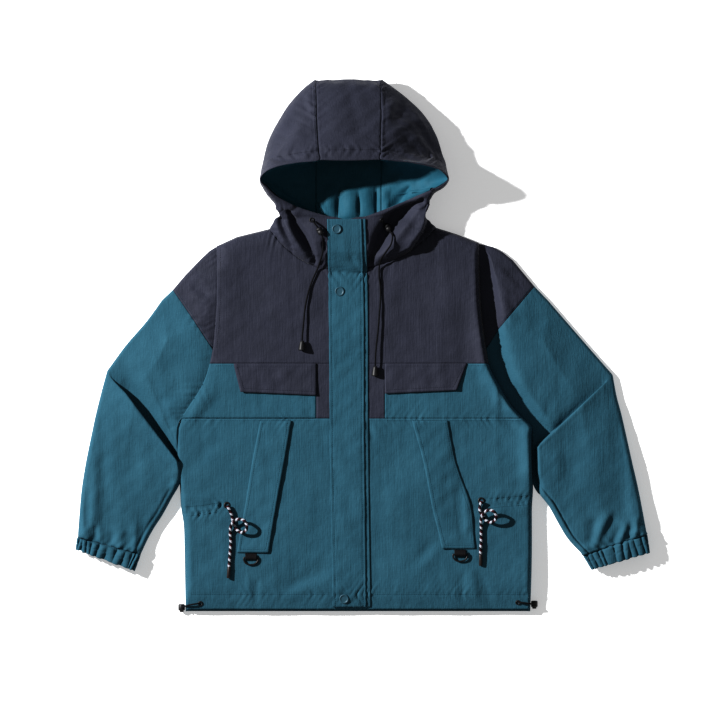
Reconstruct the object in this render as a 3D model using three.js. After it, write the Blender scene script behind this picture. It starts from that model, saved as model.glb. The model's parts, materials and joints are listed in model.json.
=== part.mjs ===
// A hooded field parka lying flat on its back, front up, sleeves out to the sides.
// Millimetres: +X to the wearer's left (the viewer's right), +Y from hem to hood, +Z up.
// The garment is drawn from its hem centre (x = 0, y = 0) and moved at the end so that the
// middle of its underside is the origin. Cloth pieces are thin closed walls over a grid of
// points; neighbouring pieces stop just short of each other at their seams.
import * as THREE from 'three';

// ------------------------------------------------------------------ driving dimensions
const CLOTH = 1.2; // thickness of a shell panel
const TRIM_CLOTH = 1.5; // flaps and other two-layer pieces
const SEAM = 0.7; // gap between two pieces at a seam
const ARMHOLE_CLEAR = 0.8; // the sleeve's seam runs this far outside the body's
const LAYER = 0.7; // gap between a panel and what lies on it
const LOFT = 22; // height of the front over the back
const SIDE_Z = 10; // height of the side and shoulder seams
const HEM_Z = 15; // height of the front's hem
const EDGE_ROLL = 18; // how far in from a folded edge the cloth comes level
const BACK_ROLL = 14; // the same on the underside
const HEM_RISE = 45; // how far above its hem the front reaches its full height
const FRONT_HEM_Y = 6; // the front's hem lies just above the back's
const MID_SEAM_Y = 341; // seam between lower front and chest
const YOKE_Y = 438; // lower edge of the yoke
const SHOULDER_REACH = 24; // how far in from the shoulder seam the front comes level
const ARMHOLE_REACH = 24; // the same at the armhole
const PLACKET_TOP_Y = 693;
const PLACKET_BOTTOM_Y = 8;
const PLACKET_CLOTH = 2;
const SNAP_R = 8.5;
const SNAP_H = 2.6;
const CUFF_WAVES = 20; // gathers round a cuff
const CUFF_WAVE = 1.1; // depth of a gather, up and down
const CUFF_H = 25;
const WAIST_CORD_R = 2.75;
const HOOD_CORD_R = 1.4;
const WIRE_R = 1.5; // D-ring wire

const TEAL = 0x27627b;
const NAVY = 0x34374a;
const BLACK = 0x141416;
const CORD = 0xa7adb4;

// ------------------------------------------------------------------ outlines and tables
// Side seams and armholes, up the body. A side seam ends at its underarm.
const UNDERARM_Y = { left: 338, right: 328 };
const BODY_EDGE = [
  { y: 0, left: -301, right: 308 },
  { y: 55, left: -302, right: 310 },
  { y: 158, left: -305, right: 311 },
  { y: 183, left: -309, right: 311 },
  { y: 215, left: -311, right: 313 },
  { y: 269, left: -315, right: 312 },
  { y: 311, left: -315, right: 311 },
  { y: 328, left: -313, right: 311 },
  { y: 341, left: -309, right: 297 },
  { y: 365, left: -294, right: 275 },
  { y: 396, left: -274, right: 256 },
  { y: 438, left: -258.5, right: 235 },
  { y: 464, left: -253, right: 230 },
  { y: 500, left: -249.5, right: 225 },
  { y: 550, left: -246, right: 220 },
  { y: 600, left: -246, right: 218 },
  { y: 651, left: -247, right: 217 },
];
// How deep the armhole seam sits: the right one lies in a deep valley.
const ARMHOLE_Z = { left: 13, right: 5 };
// Shoulder seam from armhole to neck.
const SHOULDER = {
  left: [{ x: -247, y: 645 }, { x: -210, y: 662 }, { x: -153, y: 676 }],
  right: [{ x: 217, y: 651 }, { x: 180, y: 666 }, { x: 142, y: 678 }],
};
// Neckline seam from the centre front to the neck point, a quadratic curve.
const NECKLINE = {
  left: { front: [-20, 605], bend: [-95, 596], neck: [-153, 676] },
  right: { front: [-15.5, 604], bend: [72, 603], neck: [142, 678] },
};
const BACK_NECK_Y = 668;
// Storm placket and the strip beneath it.
const PLACKET = [
  { y: 8, left: -41, right: 18, strip: 26 },
  { y: 285, left: -46, right: 15, strip: 22 },
  { y: 600, left: -49, right: 13, strip: 20 },
  { y: 693, left: -51, right: 10, strip: 17 },
];
// Where the navy band beside the placket ends, either side.
const BAND_X = { left: -70, right: 51 };
// Height of the layer under the placket, above the neckline.
const NECK_FRONT_Z = [
  { y: 600, z: 22 }, { y: 608, z: 26 }, { y: 636, z: 40.5 }, { y: 665, z: 45.5 }, { y: 700, z: 46.5 },
];
const SNAPS = [{ x: -34, y: 675 }, { x: -29, y: 565.5 }, { x: -21, y: 22.5 }];

// Troughs pressed into the front: from, to, depth and half width.
const TROUGHS = [
  { x0: -309, y0: 183, x1: -240, y1: 187, depth: 3, half: 11 },
  { x0: 311, y0: 190, x1: 235, y1: 195, depth: 3, half: 11 },
  { x0: -44, y0: 72, x1: -136, y1: 31, depth: 2, half: 16 },
  { x0: 146, y0: 90, x1: 106, y1: 62, depth: 2, half: 16 },
  { x0: -235, y0: 300, x1: -305, y1: 240, depth: 2.5, half: 18 },
  { x0: 240, y0: 310, x1: 305, y1: 255, depth: 2.5, half: 18 },
  { x0: -255, y0: 560, x1: -190, y1: 520, depth: 2, half: 22 },
  { x0: 225, y0: 560, x1: 160, y1: 530, depth: 2, half: 22 },
];

// Chest flap corners and the slanted pocket flap, from its stitched to its free edge.
const CHEST_FLAP = {
  left: { top: -216, bottom: -204, outerY: 388, innerY: 382 },
  right: { top: 196, bottom: 178, outerY: 391, innerY: 385 },
};
const POCKET_FLAP = {
  left: [
    { y: 337, sewn: -169, free: -114 }, { y: 262, sewn: -183.5, free: -127 },
    { y: 185, sewn: -196, free: -141 }, { y: 125, sewn: -207, free: -151 },
    { y: 104, sewn: -210, free: -154 },
  ],
  right: [
    { y: 337, sewn: 162, free: 99 }, { y: 265, sewn: 176, free: 119 },
    { y: 178, sewn: 205, free: 136 }, { y: 130, sewn: 209, free: 148 },
    { y: 111, sewn: 211, free: 152 },
  ],
};
const FLAP_LIFT = 3; // how far the free edge of the pocket flap stands off

// Hood sides. A row runs from the face edge or the centre seam (sx, sy, sz) over the roof to
// the outline (ox, oy, oz) and back beneath to the seam on the floor (ex, ey, ez).
// bx, by bend the upper stretch in plan; puff raises its middle.
const HOOD_ROWS = {
  left: [
    { sx: -71, sy: 939, sz: 33, ox: -76, oy: 939, oz: 26, ex: -71, ey: 939, ez: 17 },
    { sx: -71, sy: 929, sz: 49, ox: -90, oy: 926, oz: 28, ex: -71, ey: 929, ez: 3 },
    { sx: -70, sy: 905, sz: 62, ox: -114, oy: 901, oz: 30, ex: -71, ey: 905, ez: 0 },
    { sx: -69, sy: 870, sz: 77, ox: -138, oy: 864, oz: 33, ex: -71, ey: 870, ez: 0 },
    { sx: -67, sy: 835, sz: 93, ox: -153, oy: 834, oz: 37, ex: -71, ey: 838, ez: 0 },
    { sx: -65, sy: 808, sz: 106, ox: -161, oy: 808, oz: 40, ex: -71, ey: 815, ez: 0 },
    { sx: -64, sy: 795, sz: 110, ox: -163, oy: 798, oz: 41, ex: -71, ey: 802, ez: 0 },
    { sx: -100, sy: 790, sz: 107, ox: -165, oy: 789, oz: 42, ex: -71, ey: 791, ez: 0 },
    { sx: -134, sy: 784, sz: 101, ox: -167, oy: 780, oz: 43, ex: -71, ey: 780, ez: 0 },
    { sx: -155, sy: 776, sz: 96, ox: -168, oy: 772, oz: 44, ex: -71, ey: 770, ez: 0 },
    { sx: -167, sy: 764, sz: 90, ox: -169, oy: 761, oz: 44, ex: -71, ey: 758, ez: 0 },
    { sx: -156, sy: 748, sz: 75, ox: -160, oy: 746, oz: 38, ex: -71, ey: 745, ez: 0 },
    { sx: -143, sy: 735, sz: 63, ox: -149, oy: 731, oz: 34, ex: -71, ey: 732, ez: 0 },
    { sx: -120, sy: 722, sz: 54, ox: -143, oy: 717, oz: 30, ex: -71, ey: 718, ez: 0, puff: 3 },
    { sx: -99, sy: 713, sz: 48, ox: -140, oy: 706, oz: 27, ex: -71, ey: 707, ez: 0, puff: 4 },
    { sx: -51, sy: 698, sz: 43, ox: -141, oy: 697, oz: 24, ex: -71, ey: 697, ez: 0, by: 3, puff: 4 },
    { sx: -20, sy: 691, sz: 40, ox: -144, oy: 690, oz: 20, ex: -71, ey: 688, ez: 0, by: 2, puff: 4 },
    { sx: -20, sy: 665, sz: 39, ox: -147, oy: 685, oz: 17, ex: -71, ey: 680, ez: 0, by: -14, puff: 5 },
    { sx: -20, sy: 636, sz: 34, ox: -150, oy: 680, oz: 13, ex: -71, ey: 674, ez: 0, by: -26, puff: 6 },
  ],
  right: [
    { sx: 45, sy: 939, sz: 33, ox: 50, oy: 939, oz: 26, ex: 45, ey: 939, ez: 17 },
    { sx: 45, sy: 929, sz: 49, ox: 64, oy: 927, oz: 28, ex: 45, ey: 929, ez: 3 },
    { sx: 45, sy: 905, sz: 62, ox: 93, oy: 904, oz: 30, ex: 45, ey: 905, ez: 0 },
    { sx: 45, sy: 870, sz: 77, ox: 125, oy: 870, oz: 33, ex: 45, ey: 870, ez: 0 },
    { sx: 44, sy: 835, sz: 93, ox: 144, oy: 835, oz: 37, ex: 45, ey: 838, ez: 0 },
    { sx: 44, sy: 808, sz: 106, ox: 153, oy: 806, oz: 40, ex: 45, ey: 815, ez: 0 },
    { sx: 44, sy: 796, sz: 110, ox: 157, oy: 796, oz: 41, ex: 45, ey: 802, ez: 0 },
    { sx: 75, sy: 793, sz: 107, ox: 159, oy: 788, oz: 42, ex: 45, ey: 791, ez: 0 },
    { sx: 104, sy: 789, sz: 103, ox: 160, oy: 781, oz: 43, ex: 45, ey: 780, ez: 0 },
    { sx: 140, sy: 781, sz: 97, ox: 162, oy: 773, oz: 44, ex: 45, ey: 770, ez: 0 },
    { sx: 161, sy: 762, sz: 90, ox: 163, oy: 759, oz: 44, ex: 45, ey: 758, ez: 0 },
    { sx: 149, sy: 751, sz: 76, ox: 153, oy: 748, oz: 38, ex: 45, ey: 745, ez: 0 },
    { sx: 134, sy: 744, sz: 64, ox: 139, oy: 739, oz: 34, ex: 45, ey: 732, ez: 0 },
    { sx: 106, sy: 730, sz: 54, ox: 133, oy: 725, oz: 30, ex: 45, ey: 718, ez: 0, puff: 3 },
    { sx: 78, sy: 716, sz: 48, ox: 130, oy: 712, oz: 27, ex: 45, ey: 707, ez: 0, puff: 4 },
    { sx: 18, sy: 698, sz: 43, ox: 128, oy: 701, oz: 24, ex: 45, ey: 697, ez: 0, by: 3, puff: 4 },
    { sx: -15.5, sy: 691, sz: 40, ox: 130, oy: 694, oz: 20, ex: 45, ey: 688, ez: 0, by: 2, puff: 4 },
    { sx: -15.5, sy: 665, sz: 39, ox: 134, oy: 688, oz: 17, ex: 45, ey: 680, ez: 0, by: -12, puff: 5 },
    { sx: -15.5, sy: 636, sz: 34, ox: 138, oy: 682, oz: 13, ex: 45, ey: 674, ez: 0, by: -24, puff: 6 },
  ],
};
const HOOD_TUCK = 0.75; // how far under the hood's side turns, in its own heights
const BRIM_ROW = 6; // the row at the top of the face opening
const NECK_ACROSS = [0, 0.2, 0.4, 0.58, 0.75, 0.9, 1]; // columns from front to neck point
const LINING_IN = 4.2; // the lining's outer face, inside the shell's

// Sleeves: a row across the sleeve from its inner to its outer edge, and its height.
const SLEEVE_ROWS = {
  left: [
    { ix: -317, iy: 322, ox: -343, oy: 550, loft: 22 },
    { ix: -317.5, iy: 300, ox: -377, oy: 514, loft: 22 },
    { ix: -318, iy: 282, ox: -410, oy: 472, loft: 21 },
    { ix: -317.5, iy: 268, ox: -436, oy: 430, loft: 14 },
    { ix: -317, iy: 260, ox: -439, oy: 419, loft: 25 },
    { ix: -316, iy: 243, ox: -449, oy: 392, loft: 24 },
    { ix: -315, iy: 224, ox: -459, oy: 352, loft: 23 },
    { ix: -326, iy: 200, ox: -468, oy: 310, loft: 22 },
    { ix: -343, iy: 169, ox: -478, oy: 260, loft: 21 },
    { ix: -358, iy: 146, ox: -485, oy: 215, loft: 20 },
    { ix: -370, iy: 124, ox: -489, oy: 170, loft: 21 },
    { ix: -381, iy: 100, ox: -492, oy: 130, loft: 22 },
  ],
  right: [
    { ix: 322, iy: 315, ox: 340, oy: 549, loft: 22 },
    { ix: 326, iy: 303, ox: 372, oy: 512, loft: 22 },
    { ix: 329, iy: 294, ox: 411, oy: 467, loft: 21 },
    { ix: 331, iy: 289, ox: 448, oy: 421, loft: 14 },
    { ix: 329, iy: 281, ox: 454, oy: 406, loft: 25 },
    { ix: 325, iy: 264, ox: 462, oy: 376, loft: 24 },
    { ix: 323, iy: 242, ox: 469, oy: 350, loft: 23 },
    { ix: 325, iy: 223, ox: 477, oy: 315, loft: 22 },
    { ix: 341, iy: 186, ox: 488, oy: 265, loft: 21 },
    { ix: 359, iy: 154, ox: 499, oy: 217, loft: 20 },
    { ix: 375, iy: 128, ox: 507, oy: 176, loft: 21 },
    { ix: 401, iy: 100, ox: 514, oy: 137, loft: 22 },
  ],
};
// The underarm end of the sleeve and the seam between its navy cap and its teal length.
const SLEEVE_SEAM = {
  left: { underarm: [-314, 335], cap: [[-253.8, 464], [-288, 516], [-324, 568]] },
  right: { underarm: [314, 326], cap: [[230.8, 464], [253, 500], [316, 574]] },
};
const CUFF = {
  left: { top: { ix: -381, iy: 100, ox: -492, oy: 130 }, hem: { ix: -392, iy: 72, ox: -495, oy: 110 } },
  right: { top: { ix: 401, iy: 100, ox: 514, oy: 137 }, hem: { ix: 417, iy: 74, ox: 519, oy: 104 } },
};

// Hardware and cords. A cord's row is its place and how far its underside is off the cloth.
const WAIST_CORD = {
  left: [
    { x: -227, y: 187, up: 3.4 }, { x: -223, y: 179, up: 3 }, { x: -219, y: 169, up: 1.5 },
    { x: -217, y: 158, up: 0.8 }, { x: -212, y: 147, up: 2 }, { x: -203, y: 140, up: 7 },
    { x: -194, y: 144, up: 13 }, { x: -193, y: 155, up: 16 }, { x: -201, y: 163, up: 14 },
    { x: -212, y: 162, up: 10 }, { x: -220, y: 153, up: 6 }, { x: -222, y: 140, up: 2 },
    { x: -221, y: 124, up: 0.8 }, { x: -222, y: 108, up: 0.8 }, { x: -223, y: 93, up: 0.8 },
    { x: -224, y: 79, up: 0.8 },
  ],
  right: [
    { x: 222, y: 195, up: 3.4 }, { x: 219, y: 187, up: 3 }, { x: 219, y: 178, up: 1.5 },
    { x: 224, y: 169, up: 0.8 }, { x: 231, y: 160, up: 3 }, { x: 240, y: 158, up: 8 },
    { x: 247, y: 165, up: 13 }, { x: 245, y: 175, up: 16 }, { x: 236, y: 180, up: 14 },
    { x: 226, y: 175, up: 10 }, { x: 221, y: 164, up: 5 }, { x: 221, y: 150, up: 1.5 },
    { x: 221, y: 136, up: 0.8 }, { x: 221, y: 122, up: 0.8 }, { x: 220, y: 110, up: 0.8 },
    { x: 220, y: 101, up: 0.8 },
  ],
};
const HOOD_CORD = {
  left: [
    { x: -77, y: 690, up: 2.9 }, { x: -72, y: 684, up: 5 }, { x: -67, y: 677.5, up: 6.5 },
    { x: -62.5, y: 670, up: 7 }, { x: -59, y: 661, up: 7 }, { x: -58, y: 648, up: 5 },
    { x: -59, y: 633, up: 4 }, { x: -63, y: 619, up: 3.5 }, { x: -68, y: 605, up: 2.5 },
    { x: -74, y: 592, up: 2 }, { x: -80, y: 577, up: 1.5 }, { x: -86, y: 556, up: 2 },
    { x: -90, y: 535, up: 3 }, { x: -92, y: 516, up: 4 }, { x: -93.5, y: 500, up: 5 },
    { x: -94.5, y: 489, up: 5.4 }, { x: -95, y: 479, up: 5.6 },
  ],
  right: [
    { x: 46, y: 690, up: 2.9 }, { x: 51.5, y: 683.5, up: 5 }, { x: 57, y: 677, up: 6.5 },
    { x: 61.5, y: 669.5, up: 7 }, { x: 64.5, y: 661, up: 7 }, { x: 62, y: 649, up: 5 },
    { x: 53, y: 635, up: 3.5 }, { x: 44, y: 621, up: 2.5 }, { x: 41, y: 607, up: 2.5 },
    { x: 41, y: 592, up: 2 }, { x: 43, y: 572, up: 1.5 }, { x: 43, y: 548, up: 2 },
    { x: 41, y: 522, up: 3 }, { x: 39, y: 496, up: 4 }, { x: 36, y: 470, up: 5 },
    { x: 34.5, y: 452, up: 5.4 }, { x: 34, y: 434, up: 5.6 },
  ],
};
// From the hem eyelet over the edge to the stopper that lies beside it: heights from z = 0.
const HEM_CORD = {
  left: [
    { x: -279, y: 14, z: 21.5 }, { x: -286, y: 13, z: 21.5 }, { x: -294, y: 11.5, z: 20 },
    { x: -301, y: 9.5, z: 17.5 }, { x: -306.5, y: 7.5, z: 13.1 },
  ],
  right: [
    { x: 290, y: 16, z: 21.8 }, { x: 296, y: 15.5, z: 21.5 }, { x: 302, y: 14.5, z: 20 },
    { x: 308.5, y: 13.5, z: 17.5 }, { x: 313.5, y: 12, z: 13.1 },
  ],
};
const HEM_LOCK = { left: [-308.5, 5.5], right: [315.5, 11.5] };
const HEM_LOCK_R = 5.8;
const HEM_LOCK_LENGTH = 14;
const LOCK_ALONG = 25; // how far along its cord the middle of the hood's lock sits
const LOCK_LENGTH = 13;
const BELL_LENGTH = 18;
const TIP_LENGTH = 20;
const DRING = {
  left: { x: -185.5, y: 95, under: 104 },
  right: { x: 184, y: 101, under: 110 },
};
const RING_WIDTH = 28;
const RING_DEPTH = 14;
const TAB_WIDTH = 20;

// ------------------------------------------------------------------ small helpers
const SIDES = ['left', 'right'];
const lerp = (a, b, t) => a + (b - a) * t;
const clamp = (v, low, high) => Math.min(Math.max(v, low), high);
const vec = (x, y, z) => new THREE.Vector3(x, y, z);

// Value of one column of a table at a height y, straight between its rows.
function at(table, column, y) {
  const last = table.length - 1;
  const next = clamp(table.findIndex((row) => row.y >= y), 1, last);
  const i = y > table[last].y ? last : next;
  const [a, b] = [table[i - 1], table[i]];
  return lerp(a[column], b[column], clamp((y - a.y) / (b.y - a.y), 0, 1));
}

// A height that leaves `low` at an edge and reaches `high` at `reach`: round like a folded
// edge, or soft like a seam between two puffed panels.
function rise(distance, reach, low, high, round) {
  const t = clamp(distance / reach, 0, 1);
  const folded = Math.sqrt(1 - (1 - t) ** 2);
  const soft = Math.sin((t * Math.PI) / 2);
  return low + (high - low) * lerp(soft, folded, round);
}

function distanceToSegment(x, y, x0, y0, x1, y1) {
  const [dx, dy] = [x1 - x0, y1 - y0];
  const t = clamp(((x - x0) * dx + (y - y0) * dy) / (dx * dx + dy * dy), 0, 1);
  return Math.hypot(x - x0 - dx * t, y - y0 - dy * t);
}

function shoulderY(x, side) {
  const [a, b, c] = SHOULDER[side];
  const [from, to] = Math.abs(x) > Math.abs(b.x) ? [a, b] : [b, c];
  return lerp(from.y, to.y, (x - from.x) / (to.x - from.x));
}

function necklinePoint(side, t) {
  const { front, bend, neck } = NECKLINE[side];
  const curve = new THREE.QuadraticBezierCurve(
    new THREE.Vector2(...front), new THREE.Vector2(...bend), new THREE.Vector2(...neck));
  return curve.getPoint(t);
}

// Depth of the armhole seam, which comes up to the shoulder seam at its top.
function armholeZ(side, y) {
  return lerp(ARMHOLE_Z[side], SIDE_Z, clamp((y - 600) / 45, 0, 1));
}

const centreX = (y) => (at(PLACKET, 'left', y) + at(PLACKET, 'right', y)) / 2;

// Height of the front's outer face.
function frontZ(x, y) {
  const side = x < centreX(y) ? 'left' : 'right';
  const inside = Math.abs(at(BODY_EDGE, side, y) - x);
  const round = clamp((UNDERARM_Y[side] - y) / 20 + 0.5, 0, 1);
  const low = lerp(armholeZ(side, y), SIDE_Z, round);
  let z = rise(inside, lerp(ARMHOLE_REACH, EDGE_ROLL, round), low, LOFT, round);
  if (Math.abs(x) >= Math.abs(NECKLINE[side].neck[0]) - 30) {
    z = Math.min(z, rise(shoulderY(x, side) - y, SHOULDER_REACH, SIDE_Z, LOFT, 1));
  }
  z = Math.min(z, rise(y - FRONT_HEM_Y, HEM_RISE, HEM_Z, LOFT, 0));
  for (const f of TROUGHS) {
    const d = distanceToSegment(x, y, f.x0, f.y0, f.x1, f.y1) / f.half;
    const fade = clamp(inside / EDGE_ROLL, 0, 1);
    z -= f.depth * fade * Math.exp(-d * d * 2);
  }
  return z;
}

// Height of the back's outer face, which lies flat but for its side and shoulder seams.
function backZ(x, y) {
  const side = x < 0 ? 'left' : 'right';
  const inside = Math.abs(at(BODY_EDGE, side, y) - x);
  const curl = clamp((UNDERARM_Y[side] - y) / 20, 0, 1);
  let z = SIDE_Z - rise(inside, BACK_ROLL, 0, SIDE_Z, 1);
  z *= curl;
  if (Math.abs(x) >= Math.abs(NECKLINE[side].neck[0]) - 12) {
    z = Math.max(z, SIDE_Z - rise(shoulderY(x, side) - y, BACK_ROLL, 0, SIDE_Z, 1));
  }
  return z;
}

// ------------------------------------------------------------------ walls
const part = new THREE.Group();

function add(name, geometry, colour, roughness = 0.85, metalness = 0) {
  const material = new THREE.MeshStandardMaterial({ color: colour, roughness, metalness });
  const mesh = new THREE.Mesh(geometry, material);
  mesh.name = name;
  part.add(mesh);
  return mesh;
}

// Outward unit normals of a grid whose columns by rows turn outward. A wall that comes down
// to the height of a side seam meets the other half edge to edge, so its normal is level.
function gridNormals(grid, ring, untrimmed) {
  const rows = grid.length;
  const columns = grid[0].length;
  return grid.map((row, r) => row.map((point, c) => {
    const before = ring ? row[(c + columns - 1) % columns] : row[Math.max(c - 1, 0)];
    const after = ring ? row[(c + 1) % columns] : row[Math.min(c + 1, columns - 1)];
    const below = grid[Math.max(r - 1, 0)][c];
    const above = grid[Math.min(r + 1, rows - 1)][c];
    const normal = after.clone().sub(before).cross(above.clone().sub(below));
    const seam = !ring && (c === 0 || c === columns - 1 || r === 0 || r === rows - 1);
    if (seam && Math.abs(untrimmed[r][c].z - SIDE_Z) < 0.01) {
      normal.z = 0;
    }
    return normal.normalize();
  }));
}

// Draws the open edges of a grid in by half a seam gap.
function trim(grid, ring) {
  const last = grid.length - 1;
  const end = grid[0].length - 1;
  const pull = (from, to) => to.clone().sub(from).setLength(SEAM / 2);
  return grid.map((row, r) => row.map((point, c) => {
    const moved = point.clone();
    if (r === 0) moved.add(pull(point, grid[1][c]));
    if (r === last) moved.add(pull(point, grid[last - 1][c]));
    if (!ring && c === 0) moved.add(pull(point, row[1]));
    if (!ring && c === end) moved.add(pull(point, row[end - 1]));
    return moved;
  }));
}

// A closed wall over a grid, between two distances measured outward from the grid.
function wall(grid, near, far, { ring = false, flip = false } = {}) {
  const untrimmed = flip ? grid.map((row) => [...row].reverse()) : grid;
  const ordered = trim(untrimmed, ring);
  const normals = gridNormals(ordered, ring, untrimmed);
  const rows = ordered.length;
  const columns = ordered[0].length;
  const positions = [];
  for (const offset of [far, near]) {
    ordered.forEach((row, r) => row.forEach((point, c) => {
      const moved = point.clone().addScaledVector(normals[r][c], offset);
      positions.push(moved.x, moved.y, moved.z);
    }));
  }
  const outer = (r, c) => r * columns + (c % columns);
  const inner = (r, c) => outer(r, c) + rows * columns;
  const index = [];
  const quad = (a, b, c, d) => index.push(a, b, c, a, c, d);
  const spans = ring ? columns : columns - 1;
  for (let c = 0; c < spans; c += 1) {
    for (let r = 0; r < rows - 1; r += 1) {
      quad(outer(r, c), outer(r, c + 1), outer(r + 1, c + 1), outer(r + 1, c));
      quad(inner(r, c), inner(r + 1, c), inner(r + 1, c + 1), inner(r, c + 1));
    }
    const top = rows - 1;
    quad(inner(0, c), inner(0, c + 1), outer(0, c + 1), outer(0, c));
    quad(inner(top, c + 1), inner(top, c), outer(top, c), outer(top, c + 1));
  }
  if (!ring) {
    const end = columns - 1;
    for (let r = 0; r < rows - 1; r += 1) {
      quad(inner(r + 1, 0), inner(r, 0), outer(r, 0), outer(r + 1, 0));
      quad(inner(r, end), inner(r + 1, end), outer(r + 1, end), outer(r, end));
    }
  }
  const geometry = new THREE.BufferGeometry();
  geometry.setAttribute('position', new THREE.Float32BufferAttribute(positions, 3));
  geometry.setIndex(index);
  geometry.computeVertexNormals();
  return geometry;
}

// A panel of the front between two edges x(y), with close columns by its outer edge.
function frontGrid(heights, edgeOf, innerOf, spans) {
  return heights.map((y) => {
    const [edge, inner] = [edgeOf(y), innerOf(y)];
    const inward = Math.sign(inner - edge);
    const columns = [0, 3, 9, 18].map((d) => edge + inward * d);
    for (let i = 1; i <= spans; i += 1) {
      columns.push(lerp(edge + inward * 18, inner, i / spans));
    }
    return columns.map((x) => vec(x, y, frontZ(x, y)));
  });
}

// ------------------------------------------------------------------ body
function buildFronts() {
  const lowerRows = [FRONT_HEM_Y, 22, 45, 75, 110, 145, 171, 185, 198, 230, 269, 311, MID_SEAM_Y];
  const midRows = [MID_SEAM_Y, 365, 396, 417, YOKE_Y];
  for (const side of SIDES) {
    const flip = side === 'right';
    const edge = (y) => at(BODY_EDGE, side, y);
    add(`front_lower_${side}`, wall(frontGrid(lowerRows, edge, centreX, 6), -CLOTH, 0, { flip }), TEAL);
    const mid = frontGrid(midRows, edge, () => BAND_X[side], 5);
    add(`front_mid_${side}`, wall(mid, -CLOTH, 0, { flip }), TEAL);
    const band = [MID_SEAM_Y, 390, YOKE_Y].map((y) => (
      [0, 0.5, 1].map((t) => lerp(BAND_X[side], centreX(y), t)).map((x) => vec(x, y, frontZ(x, y)))));
    add(`front_band_${side}`, wall(band, -CLOTH, 0, { flip }), NAVY);
    add(`front_yoke_${side}`, wall(yokeGrid(side), -CLOTH, 0, { flip }), NAVY);
  }
}

// Shares of the climb from the yoke's lower edge to the shoulder, with a row at each height
// that the armhole's outline names.
function yokeClimb(side) {
  const top = SHOULDER[side][0].y;
  const heights = [YOKE_Y, 464, 500, 550, 600, top - 24, top - 10, top - 3, top];
  return heights.map((y) => (y - YOKE_Y) / (top - YOKE_Y));
}

// Front yoke: columns rise from its lower edge to the shoulder seam, then to the neckline.
function yokeGrid(side) {
  const [outer, , neck] = SHOULDER[side];
  const shoulderEnds = [0, 0.03, 0.1, 0.2, 0.45, 0.75, 1].map((t) => {
    const x = lerp(outer.x, neck.x, t);
    return [x, shoulderY(x, side)];
  });
  const neckEnds = NECK_ACROSS.slice(0, -1).reverse().map((t) => {
    const point = necklinePoint(side, t);
    return [point.x, point.y];
  });
  const ends = [...shoulderEnds, ...neckEnds];
  const edge = at(BODY_EDGE, side, YOKE_Y);
  const inward = Math.sign(-edge);
  const feet = [0, 3, 9, 18, 50, 85, 115].map((d) => edge + inward * d);
  const rest = neckEnds.length;
  for (let i = 1; i <= rest; i += 1) {
    feet.push(lerp(edge + inward * 115, centreX(YOKE_Y), i / rest));
  }
  return yokeClimb(side).map((v) => ends.map(([endX, endY], c) => {
    const y = lerp(YOKE_Y, endY, v);
    const armholeY = lerp(YOKE_Y, ends[0][1], v);
    const pull = at(BODY_EDGE, side, armholeY) - lerp(feet[0], ends[0][0], v);
    const x = lerp(feet[c], endX, v) + pull * Math.max(0, 1 - c / 6);
    return vec(x, y, frontZ(x, y));
  }));
}

function backGrid(heights, shares) {
  return heights.map((y) => {
    const [left, right] = SIDES.map((side) => at(BODY_EDGE, side, y));
    const columns = [0, 4, 14].map((d) => left + d);
    shares.forEach((t) => columns.push(lerp(left, right, t)));
    [14, 4, 0].forEach((d) => columns.push(right - d));
    return columns.map((x) => vec(x, y, backZ(x, y)));
  });
}

function buildBack() {
  const rows = [0, 55, 183, 269, 311, 322, MID_SEAM_Y, 365, 396, YOKE_Y];
  add('back_body', wall(backGrid(rows, [0.25, 0.5, 0.75]), -CLOTH, 0, { flip: true }), TEAL);
  const across = [];
  for (const side of SIDES) {
    const [outer, , neck] = SHOULDER[side];
    const seam = [0, 0.3, 0.6, 0.85, 1].map((t) => {
      const x = lerp(outer.x, neck.x, t);
      return { side, x, y: shoulderY(x, side), foot: lerp(at(BODY_EDGE, side, YOKE_Y), neck.x, t) };
    });
    const turn = neck.x - Math.sign(neck.x) * SIDE_Z;
    seam.push({ side, x: turn, y: neck.y - 2, foot: turn });
    seam.push({ side, x: turn / 2, y: BACK_NECK_Y, foot: turn / 2 });
    across.push(...(side === 'left' ? seam : seam.reverse()));
  }
  const climbs = { left: yokeClimb('left'), right: yokeClimb('right') };
  const grid = climbs.left.map((_, r) => across.map(({ side, x: endX, y: endY, foot }) => {
    const v = climbs[side][r];
    const y = lerp(YOKE_Y, endY, v);
    const atEdge = Math.abs(endX) === Math.abs(SHOULDER[side][0].x);
    const x = atEdge ? at(BODY_EDGE, side, y) : lerp(foot, endX, v);
    return vec(x, y, backZ(x, y));
  }));
  add('back_yoke', wall(grid, -CLOTH, 0, { flip: true }), NAVY);
}

// Height that the placket lies on: the fronts, then the fronts of the neck.
function underPlacketZ(x, y) {
  return y > NECK_FRONT_Z[0].y ? at(NECK_FRONT_Z, 'z', y) : frontZ(x, y);
}

function stripGrid(leftOf, rightOf, spans, rows) {
  return rows.map((y) => {
    const columns = [];
    for (let i = 0; i <= spans; i += 1) {
      columns.push(lerp(leftOf(y), rightOf(y), i / spans));
    }
    return columns.map((x) => vec(x, y, underPlacketZ(x, y)));
  });
}

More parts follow.
